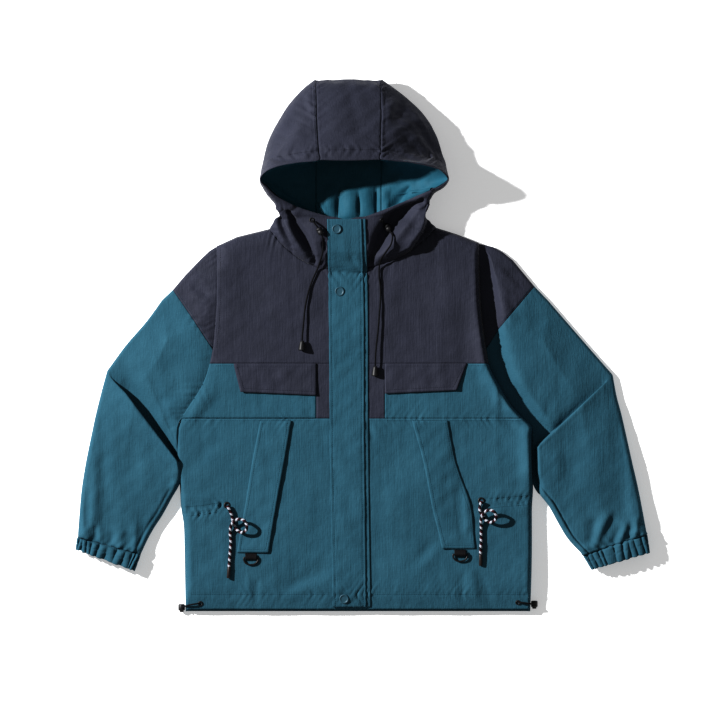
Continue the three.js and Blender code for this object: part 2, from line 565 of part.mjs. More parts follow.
function buildPlacket() {
  const rows = [PLACKET_BOTTOM_Y, 22, 45, 90, 150, 210, 285, 341, 400, 470, 530, 580, 606, 636, 665];
  rows.push(PLACKET_TOP_Y);
  const under = stripGrid((y) => centreX(y) + 6, (y) => at(PLACKET, 'strip', y), 2, rows);
  add('placket_under', wall(under, LAYER, LAYER + CLOTH), TEAL);
  const over = stripGrid((y) => at(PLACKET, 'left', y), (y) => at(PLACKET, 'right', y), 4, rows);
  const base = 2 * LAYER + CLOTH;
  add('placket', wall(over, base, base + PLACKET_CLOTH), TEAL);
  SNAPS.forEach(({ x, y }, i) => {
    const z = underPlacketZ(x, y) + base + PLACKET_CLOTH + 0.3;
    const dome = [[0, 0], [SNAP_R, 0], [SNAP_R, 1.6], [SNAP_R - 1, SNAP_H], [SNAP_R - 2.6, SNAP_H - 0.6],
      [0, SNAP_H - 0.6]];
    const slope = Math.atan2(underPlacketZ(x, y + 8) - underPlacketZ(x, y - 8), 16);
    const snap = add(`snap_${i + 1}`, turned(dome, 12), TEAL, 0.5);
    snap.rotation.x = slope;
    snap.position.set(x, y, z);
  });
}

function buildFlaps() {
  for (const side of SIDES) {
    const flip = side === 'right';
    const chest = CHEST_FLAP[side];
    const rows = [0, 0.35, 0.7, 1].map((v) => [0, 0.06, 0.3, 0.65, 1].map((t) => {
      const x = lerp(lerp(chest.bottom, chest.top, v), BAND_X[side], t);
      const y = lerp(lerp(chest.outerY, chest.innerY, t), YOKE_Y, v);
      return vec(x, y, frontZ(x, y));
    }));
    add(`chest_flap_${side}`, wall(rows, LAYER, LAYER + TRIM_CLOTH, { flip }), NAVY);
    const pocket = [...POCKET_FLAP[side]].reverse().map(({ y, sewn, free }) => (
      [0, 0.4, 0.75, 1].map((t) => {
        const x = lerp(sewn, free, t);
        return vec(x, y, frontZ(x, y) + FLAP_LIFT * t * t);
      })));
    add(`pocket_flap_${side}`, wall(pocket, LAYER, LAYER + TRIM_CLOTH, { flip }), TEAL);
  }
}

// ------------------------------------------------------------------ hood
// One row of a hood side, from the front or centre seam, over and under.
function hoodRow(row) {
  const { sx, sy, sz, ox, oy, oz, ex, ey, ez, by = 0, puff = 0 } = row;
  const points = NECK_ACROSS.map((t) => {
    const bend = 4 * t * (1 - t);
    const crown = (1 - t ** 2.4) ** (1 / 2.4);
    return vec(lerp(sx, ox, t), lerp(sy, oy, t) + by * bend, lerp(oz, sz, crown) + puff * bend);
  });
  points.push(...hoodUnder(ox, oy, oz, ex, ey, ez));
  return points;
}

// From the outline down and in to the floor, then along it to the seam.
function hoodUnder(ox, oy, oz, ex, ey, ez) {
  const reach = Math.min((HOOD_TUCK * oz) / Math.hypot(ex - ox, ey - oy), 0.5);
  const turn = [0.3, 0.65, 1].map((t) => {
    const along = reach * (1 - Math.cos((t * Math.PI) / 2));
    return vec(lerp(ox, ex, along), lerp(oy, ey, along), lerp(oz, ez, Math.sin((t * Math.PI) / 2)));
  });
  const half = lerp(reach, 1, 0.5);
  return [...turn, vec(lerp(ox, ex, half), lerp(oy, ey, half), ez), vec(ex, ey, ez)];
}

// The last row is the neckline seam, which the yoke shares.
function neckRow(side) {
  const { neck } = NECKLINE[side];
  const points = NECK_ACROSS.map((t) => {
    const { x, y } = necklinePoint(side, t);
    return vec(x, y, frontZ(x, y));
  });
  const seamX = HOOD_ROWS[side][0].ex;
  points.push(...hoodUnder(neck[0], neck[1], SIDE_Z, seamX, BACK_NECK_Y, 0));
  return points;
}

function buildHood() {
  const lining = { near: -LINING_IN - CLOTH, far: -LINING_IN };
  const grids = {};
  for (const side of SIDES) {
    const flip = side === 'right';
    grids[side] = [...HOOD_ROWS[side].map(hoodRow), neckRow(side)];
    add(`hood_side_${side}`, wall(grids[side], -CLOTH, 0, { flip }), NAVY);
    add(`lining_${side}`, wall(coarse(grids[side]), lining.near, lining.far, { flip }), TEAL);
  }
  // The centre panel follows both side panels' seams from the brim over the crown.
  const seamOf = (side) => {
    const rows = grids[side];
    const over = rows.slice(0, BRIM_ROW + 1).map((row) => row[0]).reverse();
    return [...over, ...rows.map((row) => row[row.length - 1])];
  };
  const [left, right] = SIDES.map(seamOf);
  const crown = left.map((point, r) => [0, 0.33, 0.67, 1].map((t) => {
    const middle = point.clone().lerp(right[r], t);
    const bulge = 8 * t * (1 - t);
    middle.z += r <= BRIM_ROW ? bulge : 0;
    middle.y += r === BRIM_ROW || r === BRIM_ROW + 1 ? bulge : 0;
    return middle;
  }));
  add('hood_centre', wall(crown, -CLOTH, 0), NAVY);
  const lined = crown.filter((_, r) => r % 2 === 0 || (r > 4 && r < 9));
  add('lining_centre', wall(lined, lining.near, lining.far), TEAL);
}

// Every other row of a hood side, from just inside the crown to just above the neckline.
function coarse(rows) {
  return rows.filter((_, r) => r >= 2 && r < rows.length - 1 && (r % 2 === 0 || r === rows.length - 2));
}

// ------------------------------------------------------------------ sleeves
// A flattened ring across a sleeve, from its inner edge over the top to its outer edge and
// back beneath. `path` gives the plan from 0, inner, to 1, outer; `topZ` the height on top.
const RING_TOP = [0, 3, 9, 19];
const RING_UNDER = [4, 12];
function ringAcross(path, width, topZ) {
  const share = (d) => Math.min(d / width, 0.45);
  const top = [...RING_TOP.map(share), 0.33, 0.5, 0.67, ...RING_TOP.map((d) => 1 - share(d)).reverse()]
    .sort((a, b) => a - b);
  const under = [...RING_UNDER.map((d) => 1 - share(d)), 0.5, ...RING_UNDER.map(share).reverse()];
  const points = top.map((t) => {
    const [x, y] = path(t);
    return vec(x, y, topZ(x, y, t * width, (1 - t) * width));
  });
  under.forEach((t) => {
    const [x, y] = path(t);
    const inside = Math.min(t, 1 - t) * width;
    points.push(vec(x, y, SIDE_Z - rise(inside, BACK_ROLL, 0, SIDE_Z, 1)));
  });
  return points;
}

function alongPolyline(points) {
  const curve = new THREE.CurvePath();
  for (let i = 1; i < points.length; i += 1) {
    curve.add(new THREE.LineCurve(new THREE.Vector2(...points[i - 1]), new THREE.Vector2(...points[i])));
  }
  return { length: curve.getLength(), at: (t) => curve.getPoint(t).toArray() };
}

// Distance in plan from the armhole seam.
function armholeDistance(side, x, y) {
  const rows = BODY_EDGE.filter((row) => row.y >= UNDERARM_Y[side]);
  let nearest = Infinity;
  for (let i = 1; i < rows.length; i += 1) {
    const [a, b] = [rows[i - 1], rows[i]];
    nearest = Math.min(nearest, distanceToSegment(x, y, a[side], a.y, b[side], b.y));
  }
  return nearest;
}

// Height of a sleeve's top from the distances to its inner and outer edges. Its cap has no
// inner edge.
function sleeveTop(side, loft, hasInnerEdge) {
  return (x, y, inner, outer) => Math.min(
    hasInnerEdge ? rise(inner, EDGE_ROLL, SIDE_Z, loft, 1) : loft,
    rise(outer, EDGE_ROLL, SIDE_Z, loft, 1),
    rise(armholeDistance(side, x, y), ARMHOLE_REACH, armholeZ(side, y), loft, 0),
  );
}

function buildSleeve(side) {
  const flip = side === 'right';
  const { underarm, cap } = SLEEVE_SEAM[side];
  const armhole = BODY_EDGE.filter(({ y }) => y > underarm[1] && y < cap[0][1]);
  const clear = Math.sign(cap[0][0]) * ARMHOLE_CLEAR;
  const seam = alongPolyline([underarm, ...armhole.map((row) => [row[side] + clear, row.y]), ...cap]);
  const first = ringAcross(seam.at, seam.length, sleeveTop(side, LOFT, true));
  const rows = SLEEVE_ROWS[side].map(({ ix, iy, ox, oy, loft }) => {
    const line = alongPolyline([[ix, iy], [ox, oy]]);
    return ringAcross(line.at, line.length, sleeveTop(side, loft, true));
  });
  add(`sleeve_${side}`, wall([first, ...rows], -CLOTH, 0, { ring: true, flip }), TEAL);
  buildCap(side, flip);
  buildCuff(side, flip);
}

// The navy cap: rows from the armhole seam out to the sleeve's edge and back beneath.
function buildCap(side, flip) {
  const { cap } = SLEEVE_SEAM[side];
  const [shoulder] = SHOULDER[side];
  const outline = alongPolyline([[shoulder.x * 1.03, shoulder.y - 7], cap[cap.length - 1]]);
  const seam = alongPolyline(cap);
  const heights = [shoulder.y - 4, 620, 600, 550, 500, cap[0][1]];
  const rows = heights.map((y, r) => {
    const share = r / (heights.length - 1);
    const start = [at(BODY_EDGE, side, y) + Math.sign(shoulder.x) * ARMHOLE_CLEAR, y];
    const end = outline.at(share);
    const straight = alongPolyline([start, end]);
    const last = r === heights.length - 1;
    const path = last ? seam : straight;
    const topZ = sleeveTop(side, LOFT, false);
    const tops = [0, 0.12, 0.3, 0.5, 0.7, 0.85, 0.95, 1].map((t) => {
      const [x, ty] = path.at(t);
      return vec(x, ty, topZ(x, ty, 0, (1 - t) * path.length));
    });
    const under = [0.95, 0.8, 0.4, 0].map((t) => {
      const [x, ty] = path.at(t);
      const z = SIDE_Z - rise((1 - t) * path.length, BACK_ROLL, 0, SIDE_Z, 1);
      return vec(x, ty, z);
    });
    return [...tops, ...under];
  });
  add(`sleeve_cap_${side}`, wall(rows, -CLOTH, 0, { flip }), NAVY);
}

// An elastic cuff: a flattened ring whose top and sides are gathered into small waves.
function buildCuff(side, flip) {
  const { top, hem } = CUFF[side];
  const columns = CUFF_WAVES * 4;
  const ringAt = ({ ix, iy, ox, oy }, height) => {
    const points = [];
    for (let i = 0; i < columns; i += 1) {
      const angle = Math.PI - (i / columns) * 2 * Math.PI;
      const flat = (v, power) => Math.sign(v) * Math.abs(v) ** power;
      const across = 0.5 - 0.5 * flat(Math.cos(Math.PI - angle), 0.8);
      const up = Math.sin(angle);
      const gather = up > -0.2 ? CUFF_WAVE * Math.cos((i * Math.PI) / 2) : 0;
      const z = (height / 2) * (1 + flat(up, 0.55)) + gather * Math.max(up, 0);
      points.push(vec(lerp(ix, ox, across), lerp(iy, oy, across), z));
    }
    return points;
  };
  const grid = [ringAt(top, CUFF_H - 2), ringAt(hem, CUFF_H)];
  add(`cuff_${side}`, wall(grid, -CLOTH, 0, { ring: true, flip }), TEAL);
}

// ------------------------------------------------------------------ hardware
// A turned piece about +Z from its half section.
function turned(profile, segments) {
  const geometry = new THREE.LatheGeometry(profile.map(([r, z]) => new THREE.Vector2(r, z)), segments);
  return geometry.rotateX(Math.PI / 2);
}

// Height of the cloth at a place, found from above.
const ray = new THREE.Raycaster();
const isCloth = (mesh) => /^(front|placket|hood|pocket|chest|back|lining)/.test(mesh.name);
function clothTop(x, y) {
  part.updateMatrixWorld(true);
  ray.set(vec(x, y, 500), vec(0, 0, -1));
  const [hit] = ray.intersectObjects(part.children.filter(isCloth), false);
  return hit ? hit.point.z : 0;
}

// A D-shaped ring of round wire: a straight bar along X and a bow towards -Y.
function ringWire(sides, steps) {
  const half = RING_WIDTH / 2 - WIRE_R;
  const centres = [];
  for (let i = 0; i <= steps; i += 1) {
    const angle = Math.PI * (i / steps);
    centres.push([half * Math.cos(angle), -(RING_DEPTH - WIRE_R) * Math.sin(angle) ** 0.75]);
  }
  centres.push([-half / 3, 0], [half / 3, 0]);
  const count = centres.length;
  const positions = [];
  const index = [];
  centres.forEach(([x, y], i) => {
    const [px, py] = centres[(i + count - 1) % count];
    const [nx, ny] = centres[(i + 1) % count];
    const side = vec(ny - py, px - nx, 0).normalize();
    for (let s = 0; s < sides; s += 1) {
      const angle = (s / sides) * 2 * Math.PI;
      const out = Math.cos(angle) * WIRE_R;
      positions.push(x + side.x * out, y + side.y * out, Math.sin(angle) * WIRE_R);
      const [a, b] = [i * sides + s, i * sides + ((s + 1) % sides)];
      const [c, d] = [(a + sides) % (count * sides), (b + sides) % (count * sides)];
      index.push(a, d, b, a, c, d);
    }
  });
  const geometry = new THREE.BufferGeometry();
  geometry.setAttribute('position', new THREE.Float32BufferAttribute(positions, 3));
  geometry.setIndex(index);
  return geometry;
}

// A webbing tab: a tongue that ends in a loop round the ring's bar.
function buildRings() {
  const bore = WIRE_R + 0.7;
  const outer = bore + CLOTH;
  for (const side of SIDES) {
    const { x, y, under } = DRING[side];
    const z = frontZ(x, y) + 0.4 + outer;
    const shape = new THREE.Shape();
    shape.absarc(0, 0, outer, Math.PI / 2, -Math.PI / 2, false);
    shape.lineTo(under - y - 1, -outer);
    shape.lineTo(under - y - 1, -outer + 2 * CLOTH);
    shape.lineTo(outer + 3, -outer + 2 * CLOTH);
    const hole = new THREE.Path();
    hole.absarc(0, 0, bore, 0, 2 * Math.PI, true);
    shape.holes.push(hole);
    const tab = new THREE.ExtrudeGeometry(shape, { depth: TAB_WIDTH, bevelEnabled: false, curveSegments: 8 });
    tab.translate(0, 0, -TAB_WIDTH / 2);
    tab.applyMatrix4(new THREE.Matrix4().makeBasis(vec(0, 1, 0), vec(0, 0, 1), vec(1, 0, 0)));
    add(`dring_tab_${side}`, tab, BLACK).position.set(x, y, z);
    add(`dring_${side}`, ringWire(8, 10), BLACK, 0.35, 0.6).position.set(x, y, z);
  }
}

const cordNodes = new Set();
function addToCord(...args) {
  const mesh = add(...args);
  cordNodes.add(mesh.name);
  return mesh;
}

// A ring seated on the cloth, square to it.
function addEyelet(name, x, y, outer) {
  const reach = 4;
  const slopeX = (clothTop(x + reach, y) - clothTop(x - reach, y)) / (2 * reach);
  const slopeY = (clothTop(x, y + reach) - clothTop(x, y - reach)) / (2 * reach);
  const inner = outer * 0.52;
  const profile = [[inner, 0], [outer, 0], [outer, 0.8], [outer - 1, 1.6], [inner, 1.6], [inner, 0]];
  const ring = add(name, turned(profile, 10), BLACK, 0.4);
  const normal = vec(-slopeX, -slopeY, 1).normalize();
  ring.quaternion.setFromUnitVectors(vec(0, 0, 1), normal);
  ring.position.set(x, y, clothTop(x, y)).addScaledVector(normal, 1);
}

// A cord's tube along its route.
function addCord(name, route, radius, steps, colour) {
  const points = route.map(({ x, y, up, z }) => vec(x, y, z ?? clothTop(x, y) + up + radius));
  const curve = new THREE.CatmullRomCurve3(points);
  const section = new THREE.Shape();
  section.absarc(0, 0, radius, 0, 2 * Math.PI, false);
  const geometry = new THREE.ExtrudeGeometry(section, { steps, extrudePath: curve, curveSegments: 4 });
  addToCord(name, geometry, colour);
  return curve;
}

// Seats a turned piece on a cord, its axis along the cord at a share of the cord's length.
function thread(mesh, curve, share) {
  mesh.quaternion.setFromUnitVectors(vec(0, 0, 1), curve.getTangentAt(share));
  mesh.position.copy(curve.getPointAt(share));
}

function buildCords() {
  for (const side of SIDES) {
    const waist = WAIST_CORD[side];
    addEyelet(`waist_eyelet_${side}`, waist[0].x - 1, waist[0].y + 1, 6);
    const waistCurve = addCord(`waist_cord_${side}`, waist, WAIST_CORD_R, 32, CORD);
    const tip = addToCord(`waist_tip_${side}`, turned([[0, 0.3], [2.2, 0.3], [3, 2], [3, TIP_LENGTH - 1],
      [2.4, TIP_LENGTH], [0, TIP_LENGTH]], 10), BLACK, 0.4);
    thread(tip, waistCurve, 1);
    const hood = HOOD_CORD[side];
    addEyelet(`hood_eyelet_${side}`, hood[0].x - 1, hood[0].y + 1, 4.5);
    const hoodCurve = addCord(`hood_cord_${side}`, hood, HOOD_CORD_R, 30, BLACK);
    const bore = HOOD_CORD_R + 1.2;
    const end = LOCK_LENGTH / 2;
    const lock = addToCord(`cord_lock_${side}`, turned([[bore, -end], [4.6, -end], [5.6, 2.5 - end],
      [5.6, end - 3], [4.4, end], [bore, end], [bore, -end]], 10), BLACK, 0.4);
    thread(lock, hoodCurve, LOCK_ALONG / hoodCurve.getLength());
    const bell = addToCord(`bell_${side}`, turned([[0, 1], [3.4, 1], [4.2, 4], [6.2, BELL_LENGTH - 2],
      [5.6, BELL_LENGTH], [0, BELL_LENGTH]], 12), BLACK, 0.4);
    thread(bell, hoodCurve, 1);
    const hem = HEM_CORD[side];
    addEyelet(`hem_eyelet_${side}`, hem[0].x - Math.sign(hem[0].x), hem[0].y, 4.5);
    addCord(`hem_cord_${side}`, hem, HOOD_CORD_R, 8, BLACK);
    const half = HEM_LOCK_LENGTH / 2;
    const stopper = addToCord(`hem_lock_${side}`, turned([[0, -half], [3.6, -half], [3.6, 3 - half],
      [HEM_LOCK_R, 3.6 - half], [HEM_LOCK_R, half - 1], [HEM_LOCK_R - 1, half], [0, half]], 12), BLACK, 0.4);
    stopper.rotation.x = Math.PI / 2;
    stopper.position.set(...HEM_LOCK[side], HEM_LOCK_R + 0.2);
  }
}

// Moves the garment so that the middle of its underside is the origin. The cords are left
// out of the measure.
function centre() {
  part.updateMatrixWorld(true);
  const box = new THREE.Box3();
  part.children.filter((mesh) => !cordNodes.has(mesh.name)).forEach((mesh) => box.expandByObject(mesh, true));
  const middle = box.getCenter(vec(0, 0, 0));
  part.position.set(-middle.x, -middle.y, -box.min.z);
}

buildFronts();
buildBack();
buildPlacket();
buildFlaps();
buildHood();
SIDES.forEach(buildSleeve);
buildRings();
buildCords();
centre();

export default part;
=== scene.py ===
"""Looks of a hooded field parka that lies flat on its back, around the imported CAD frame.

Shapes are drafted in millimetres in the garment's own draft, as the CAD part is: x = 0 and
y = 0 at the middle of the back hem, z = 0 on the floor. place() takes them to the frame.
"""
import json
import math

import bmesh
import bpy
import numpy as np
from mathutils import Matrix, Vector
from mathutils.bvhtree import BVHTree

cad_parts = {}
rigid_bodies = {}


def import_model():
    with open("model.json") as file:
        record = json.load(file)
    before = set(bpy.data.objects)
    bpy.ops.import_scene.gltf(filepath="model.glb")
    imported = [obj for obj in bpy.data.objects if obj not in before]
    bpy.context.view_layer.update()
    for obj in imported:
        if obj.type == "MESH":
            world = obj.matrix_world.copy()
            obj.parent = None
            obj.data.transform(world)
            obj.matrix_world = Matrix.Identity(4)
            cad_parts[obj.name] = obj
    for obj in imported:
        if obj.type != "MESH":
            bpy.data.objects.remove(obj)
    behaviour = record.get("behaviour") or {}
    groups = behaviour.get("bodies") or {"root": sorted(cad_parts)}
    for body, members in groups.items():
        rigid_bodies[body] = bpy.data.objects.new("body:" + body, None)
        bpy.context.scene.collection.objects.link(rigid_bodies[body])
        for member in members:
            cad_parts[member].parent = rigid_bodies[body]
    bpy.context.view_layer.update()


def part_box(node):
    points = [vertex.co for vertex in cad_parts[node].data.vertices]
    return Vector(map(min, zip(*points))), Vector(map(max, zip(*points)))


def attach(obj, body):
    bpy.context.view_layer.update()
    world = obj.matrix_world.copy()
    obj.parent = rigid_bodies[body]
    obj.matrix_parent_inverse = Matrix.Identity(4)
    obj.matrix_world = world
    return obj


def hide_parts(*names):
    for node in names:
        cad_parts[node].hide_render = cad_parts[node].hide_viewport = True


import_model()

# ------------------------------------------------------------------ driving dimensions, mm
CLOTH = 1.1
TRIM_CLOTH = 1.6  # flaps and other two-layer pieces
PLACKET_CLOTH = 1.3
LOFT = 22.0  # height of the fronts and sleeves over the floor
SIDE_Z = 10.0  # height of the side seams
HEM_Z = 15.0
EDGE_ROLL = 9.0  # how far in from a folded edge the cloth comes level
BACK_ROLL = 14.0
HEM_RISE = 45.0
SHOULDER_REACH = 26.0
ARMHOLE_REACH = 26.0
RIDGE = 8.0  # of the right of the body beside its armhole
FRONT_HEM_Y = 3.5
MID_SEAM_Y = 341.0
YOKE_Y = 438.0
FINE = 3.0  # spacing of the visible cloth's grid
COARSE = 8.0  # spacing where the cloth lies hidden
FLAP_LIFT = 3.0  # of a pocket flap's free edge
SEAM_DIP = (0.5, 1.5)  # depth and reach of the roll into a flat seam
HEM_STITCH_Y = 30.0
LINING_IN = 2.6  # from the hood's outer face in to its lining

TURN = 2 * math.pi
QUARTER = math.pi / 2
SIDES = ("left", "right")
OUT = {"left": -1.0, "right": 1.0}

UNDERARM_Y = {"left": 338.0, "right": 328.0}
# y, left edge, right edge: side seams up to the underarm, then the armholes
BODY_EDGE = np.array([
    (0, -301, 308), (55, -302, 310), (110, -303, 311), (158, -305, 311), (183, -309, 311),
    (215, -311, 313), (269, -315, 312), (311, -315, 311), (328, -313, 311), (341, -309, 297),
    (365, -294, 275), (396, -274, 256), (438, -258.5, 235), (464, -253, 230), (500, -249.5, 225),
    (550, -246, 220), (600, -246, 218), (651, -247, 217)], float)
EDGE_COLUMN = {"left": 1, "right": 2}
ARMHOLE_Z = {"left": 20.0, "right": 4.0}
SHOULDER = {
    "left": np.array([(-247, 645), (-210, 662), (-153, 676)], float),
    "right": np.array([(217, 651), (180, 666), (142, 678)], float)}
# front, bend and neck point of the quadratic neckline
NECKLINE = {
    "left": np.array([(-20, 605), (-95, 596), (-153, 676)], float),
    "right": np.array([(-15.5, 604), (72, 603), (142, 678)], float)}
BACK_NECK_Y = 668.0
# y, left edge, right edge, right edge of the strip beneath
PLACKET = np.array([(8, -41, 18, 26), (285, -46, 15, 22), (600, -49, 13, 20), (693, -51, 10, 17)],
                   float)
BAND_X = {"left": -70.0, "right": 51.0}
NECK_FRONT_Z = np.array([(600, 22), (608, 26), (636, 40), (665, 46), (700, 48)], float)
SNAPS = ((-34, 675), (-29, 565.5), (-21, 22.5))

# Shift from the draft to the frame, read off the lowest snap.
_snap_low, _snap_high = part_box("snap_3")
_snap = (Vector(_snap_low) + Vector(_snap_high)) / 2
SHIFT = np.array([_snap.x * 1000 - SNAPS[2][0], _snap.y * 1000 - SNAPS[2][1], 0.0])


def place(points):
    """Draft millimetres to metres in the frame."""
    return (np.asarray(points, float) + SHIFT) / 1000


# ------------------------------------------------------------------ curves and noise
def clamp(v, low=0.0, high=1.0):
    return np.clip(v, low, high)


def lerp(a, b, t):
    return a + (b - a) * t


def ease(t):
    return t * t * (3 - 2 * t)


def peak(distance, half, at=0.0):
    """1 at a distance, falling smoothly to nothing on both sides of it."""
    return np.exp(-(((distance - at) / half) ** 2))


def travelled(points):
    """Length along a line up to each of its points."""
    steps = np.linalg.norm(np.diff(points, axis=0), axis=1)
    return np.concatenate([[0], np.cumsum(steps)])


def spline(stops, values, at, wide=()):
    """A smooth curve through values at their stops, read at other places."""
    slope = np.gradient(values, stops, axis=0)
    i = np.clip(np.searchsorted(stops, at, side="right") - 1, 0, len(stops) - 2)
    h = stops[i + 1] - stops[i]
    t = np.reshape((at - stops[i]) / h, np.shape(at) + wide)
    h = np.reshape(h, np.shape(at) + wide)
    a, b = 2 * t**3 - 3 * t**2 + 1, t**3 - 2 * t**2 + t
    c, d = -2 * t**3 + 3 * t**2, t**3 - t**2
    return a * values[i] + b * h * slope[i] + c * values[i + 1] + d * h * slope[i + 1]


def smooth(xs, ys):
    """A smooth curve through a table's rows, as a function of x."""
    xs, ys = np.asarray(xs, float), np.asarray(ys, float)
    return lambda x: spline(xs, ys, np.clip(x, xs[0], xs[-1]))


def plane_waves(kx, ky, phase):
    """The sum of sine waves over the plan, about -1 to 1."""
    def value(x, y):
        total = np.zeros(np.broadcast(x, y).shape)
        for a, b, p in zip(kx, ky, phase):
            total = total + np.sin(a * x + b * y + p)
        return total / math.sqrt(len(phase))

    return value


def waves(seed, shortest, longest, count=14):
    """Smooth noise over the plan with wavelengths in a range."""
    rng = np.random.default_rng(seed)
    length = rng.uniform(shortest, longest, count)
    angle = rng.uniform(0, TURN, count)
    phase = rng.uniform(0, TURN, count)
    return plane_waves(TURN * np.cos(angle) / length, TURN * np.sin(angle) / length, phase)


def ripple(seed, shortest, longest, count=9):
    """Smooth noise along a line, about -1 to 1."""
    rng = np.random.default_rng(seed)
    k = TURN / rng.uniform(shortest, longest, count)
    phase = rng.uniform(0, TURN, count)

    def value(s):
        return sum(np.sin(a * s + p) for a, p in zip(k, phase)) / math.sqrt(count)

    return value


def streaked(seed, shortest, longest, lean=0.12, count=16):
    """Smooth noise that runs in long upright streaks."""
    rng = np.random.default_rng(seed)
    kx = TURN / rng.uniform(shortest, longest, count) * rng.choice([-1, 1], count)
    ky = kx * rng.uniform(-lean, lean, count)
    return plane_waves(kx, ky, rng.uniform(0, TURN, count))


def rise(distance, reach, low, high, rounded):
    """A height that leaves low at an edge and comes level at reach."""
    t = clamp(distance / reach)
    folded = np.sqrt(1 - (1 - t) ** 2)
    soft = np.sin(t * QUARTER)
    return low + (high - low) * lerp(soft, folded, rounded)


def to_line(x, y, line):
    """Distance to a polyline in plan, and the length along it to the nearest point."""
    line = np.asarray(line, float)
    best = np.full(np.broadcast(x, y).shape, 1e9)
    along = np.zeros_like(best)
    run = 0.0
    for (x0, y0), (x1, y1) in zip(line[:-1], line[1:]):
        dx, dy = x1 - x0, y1 - y0
        length = math.hypot(dx, dy)
        t = clamp(((x - x0) * dx + (y - y0) * dy) / length**2)
        d = np.hypot(x - x0 - dx * t, y - y0 - dy * t)
        nearer = d < best
        best = np.where(nearer, d, best)
        along = np.where(nearer, run + t * length, along)
        run += length
    return best, along


edge_left, edge_right = (smooth(BODY_EDGE[:, 0], BODY_EDGE[:, k]) for k in (1, 2))
EDGE = {"left": edge_left, "right": edge_right}
placket_left, placket_right, strip_right = (smooth(PLACKET[:, 0], PLACKET[:, k]) for k in (1, 2, 3))


def centre_x(y):
    return (placket_left(y) + placket_right(y)) / 2


def shoulder_y(x, side):
    rows = SHOULDER[side][np.argsort(SHOULDER[side][:, 0])]
    return np.interp(x, rows[:, 0], rows[:, 1])


def neckline(side, t):
    front, bend, neck = NECKLINE[side]
    t = np.asarray(t, float)[..., None]
    return (1 - t) ** 2 * front + 2 * t * (1 - t) * bend + t**2 * neck


def side_z(side, y):
    """Height of the side seam: the left one lies up on the sleeve beside it."""
    if side == "right":
        return np.full(np.shape(y), SIDE_Z)
    return SIDE_Z + 8.5 * clamp((y - 222) / 26)


def armhole_z(side, y):
    return lerp(ARMHOLE_Z[side], SIDE_Z, clamp((y - 600) / 45))


# ------------------------------------------------------------------ folds and creases
# x0, y0, x1, y1, half width, height (below 0 is a trough), lean (0 ridge, 1 step)
FRONT_CREASES = (
    # waist channel
    (-306, 200, -250, 202, 8, 1.4, 0.0), (-306, 162, -250, 166, 10, 1.2, 0.0),
    (308, 208, 240, 210, 8, 1.4, 0.0), (308, 178, 240, 178, 10, 1.2, 0.0),
    # lower fronts
    (-299, 168, -296, 20, 4, -2.4, 0.2), (-190, 66, -186, 18, 6, 1.8, 0.2),
    (-172, 60, -176, 16, 5, -1.4, 0.2),
    (205, 78, 214, 16, 7, 2.0, 0.2), (190, 70, 188, 16, 6, -1.6, 0.2), (225, 62, 240, 14, 6, -1.4, 0.3),
    (-44, 72, -136, 31, 10, -2.4, 0.5), (146, 125, 106, 80, 9, -2.2, 0.6),
    (23, 338, 35, 300, 6, -1.8, 0.6), (-60, 250, -100, 150, 26, 1.6, 0.0),
    (-250, 300, -300, 235, 14, -2.0, 0.4), (250, 310, 305, 250, 14, -2.2, 0.4),
    (-235, 110, -290, 60, 18, -1.4, 0.3), (230, 120, 290, 70, 18, -1.4, 0.3),
    (80, 240, 60, 120, 22, 1.5, 0.0), (-120, 110, -60, 90, 16, 1.2, 0.3),
    # chest under the armholes
    (-300, 335, -262, 395, 10, 1.8, 0.3), (-285, 330, -240, 385, 9, -1.6, 0.3),
    (255, 356, 252, 400, 5, -2.6, 0.7), (290, 330, 268, 362, 8, 2.0, 0.4),
    (276, 322, 250, 350, 8, -1.8, 0.4),
    # yokes
    (-235, 560, -190, 500, 24, 1.6, 0.2), (-200, 600, -150, 540, 22, -1.4, 0.3),
    (-100, 590, -70, 520, 16, 1.5, 0.2), (150, 610, 110, 540, 22, -1.5, 0.3),
    (190, 560, 150, 500, 26, 1.6, 0.2), (70, 590, 60, 540, 14, 1.2, 0.3),
)
soft_sag = waves(3, 90, 190)
crumple = waves(5, 22, 48, 18)
fine_crumple = waves(8, 9, 17, 18)
streaks = streaked(9, 8, 30)
seam_ripple = ripple(11, 9, 19)
SLANT = 0.7


def cloth_hand(x, y, sag, crumpled, streaky, fine):
    """The cloth's own unevenness, from long sags to fine crumples."""
    return (sag * soft_sag(x, y) + crumpled * crumple(x, y) + streaky * streaks(x, y)
            + fine * fine_crumple(x, y))


def puckers(distance, along, reach, height, phase=0.0):
    """Slanting puckers that a seam gathers beside itself, patchy along it."""
    patchy = 0.65 + 0.35 * np.sin((along + phase) / 23.0) + 0.3 * np.sin((along + phase) / 9.7 + 2)
    wave = seam_ripple(along + phase + SLANT * distance)
    return height * patchy * wave * np.exp(-distance / reach)


def fold_line(x, y, points, half, height, power=2.0):
    """A fold along a plan line, widest at its middle."""
    d, along = to_line(x, y, points)
    run = np.linalg.norm(np.diff(np.asarray(points, float), axis=0), axis=1).sum()
    swell = np.sin(math.pi * clamp(along / run, 0.06, 0.94)) ** 0.5
    return height * swell * np.exp(-((d / (half * swell)) ** power))


def creases(x, y, rows):
    """Height of a table of soft folds."""
    total = np.zeros(np.broadcast(x, y).shape)
    for x0, y0, x1, y1, half, height, lean in rows:
        dx, dy = x1 - x0, y1 - y0
        length = math.hypot(dx, dy)
        along = ((x - x0) * dx + (y - y0) * dy) / length**2
        across = ((x - x0) * dy - (y - y0) * dx) / length
        fade = np.exp(-np.maximum(np.abs(along - 0.5) - 0.28, 0) ** 2 / 0.035)
        q = across / half
        ridge = np.exp(-q * q)
        step = q * np.exp(0.5 - q * q / 2)
        total = total + height * fade * lerp(ridge, step, lean)
    return total


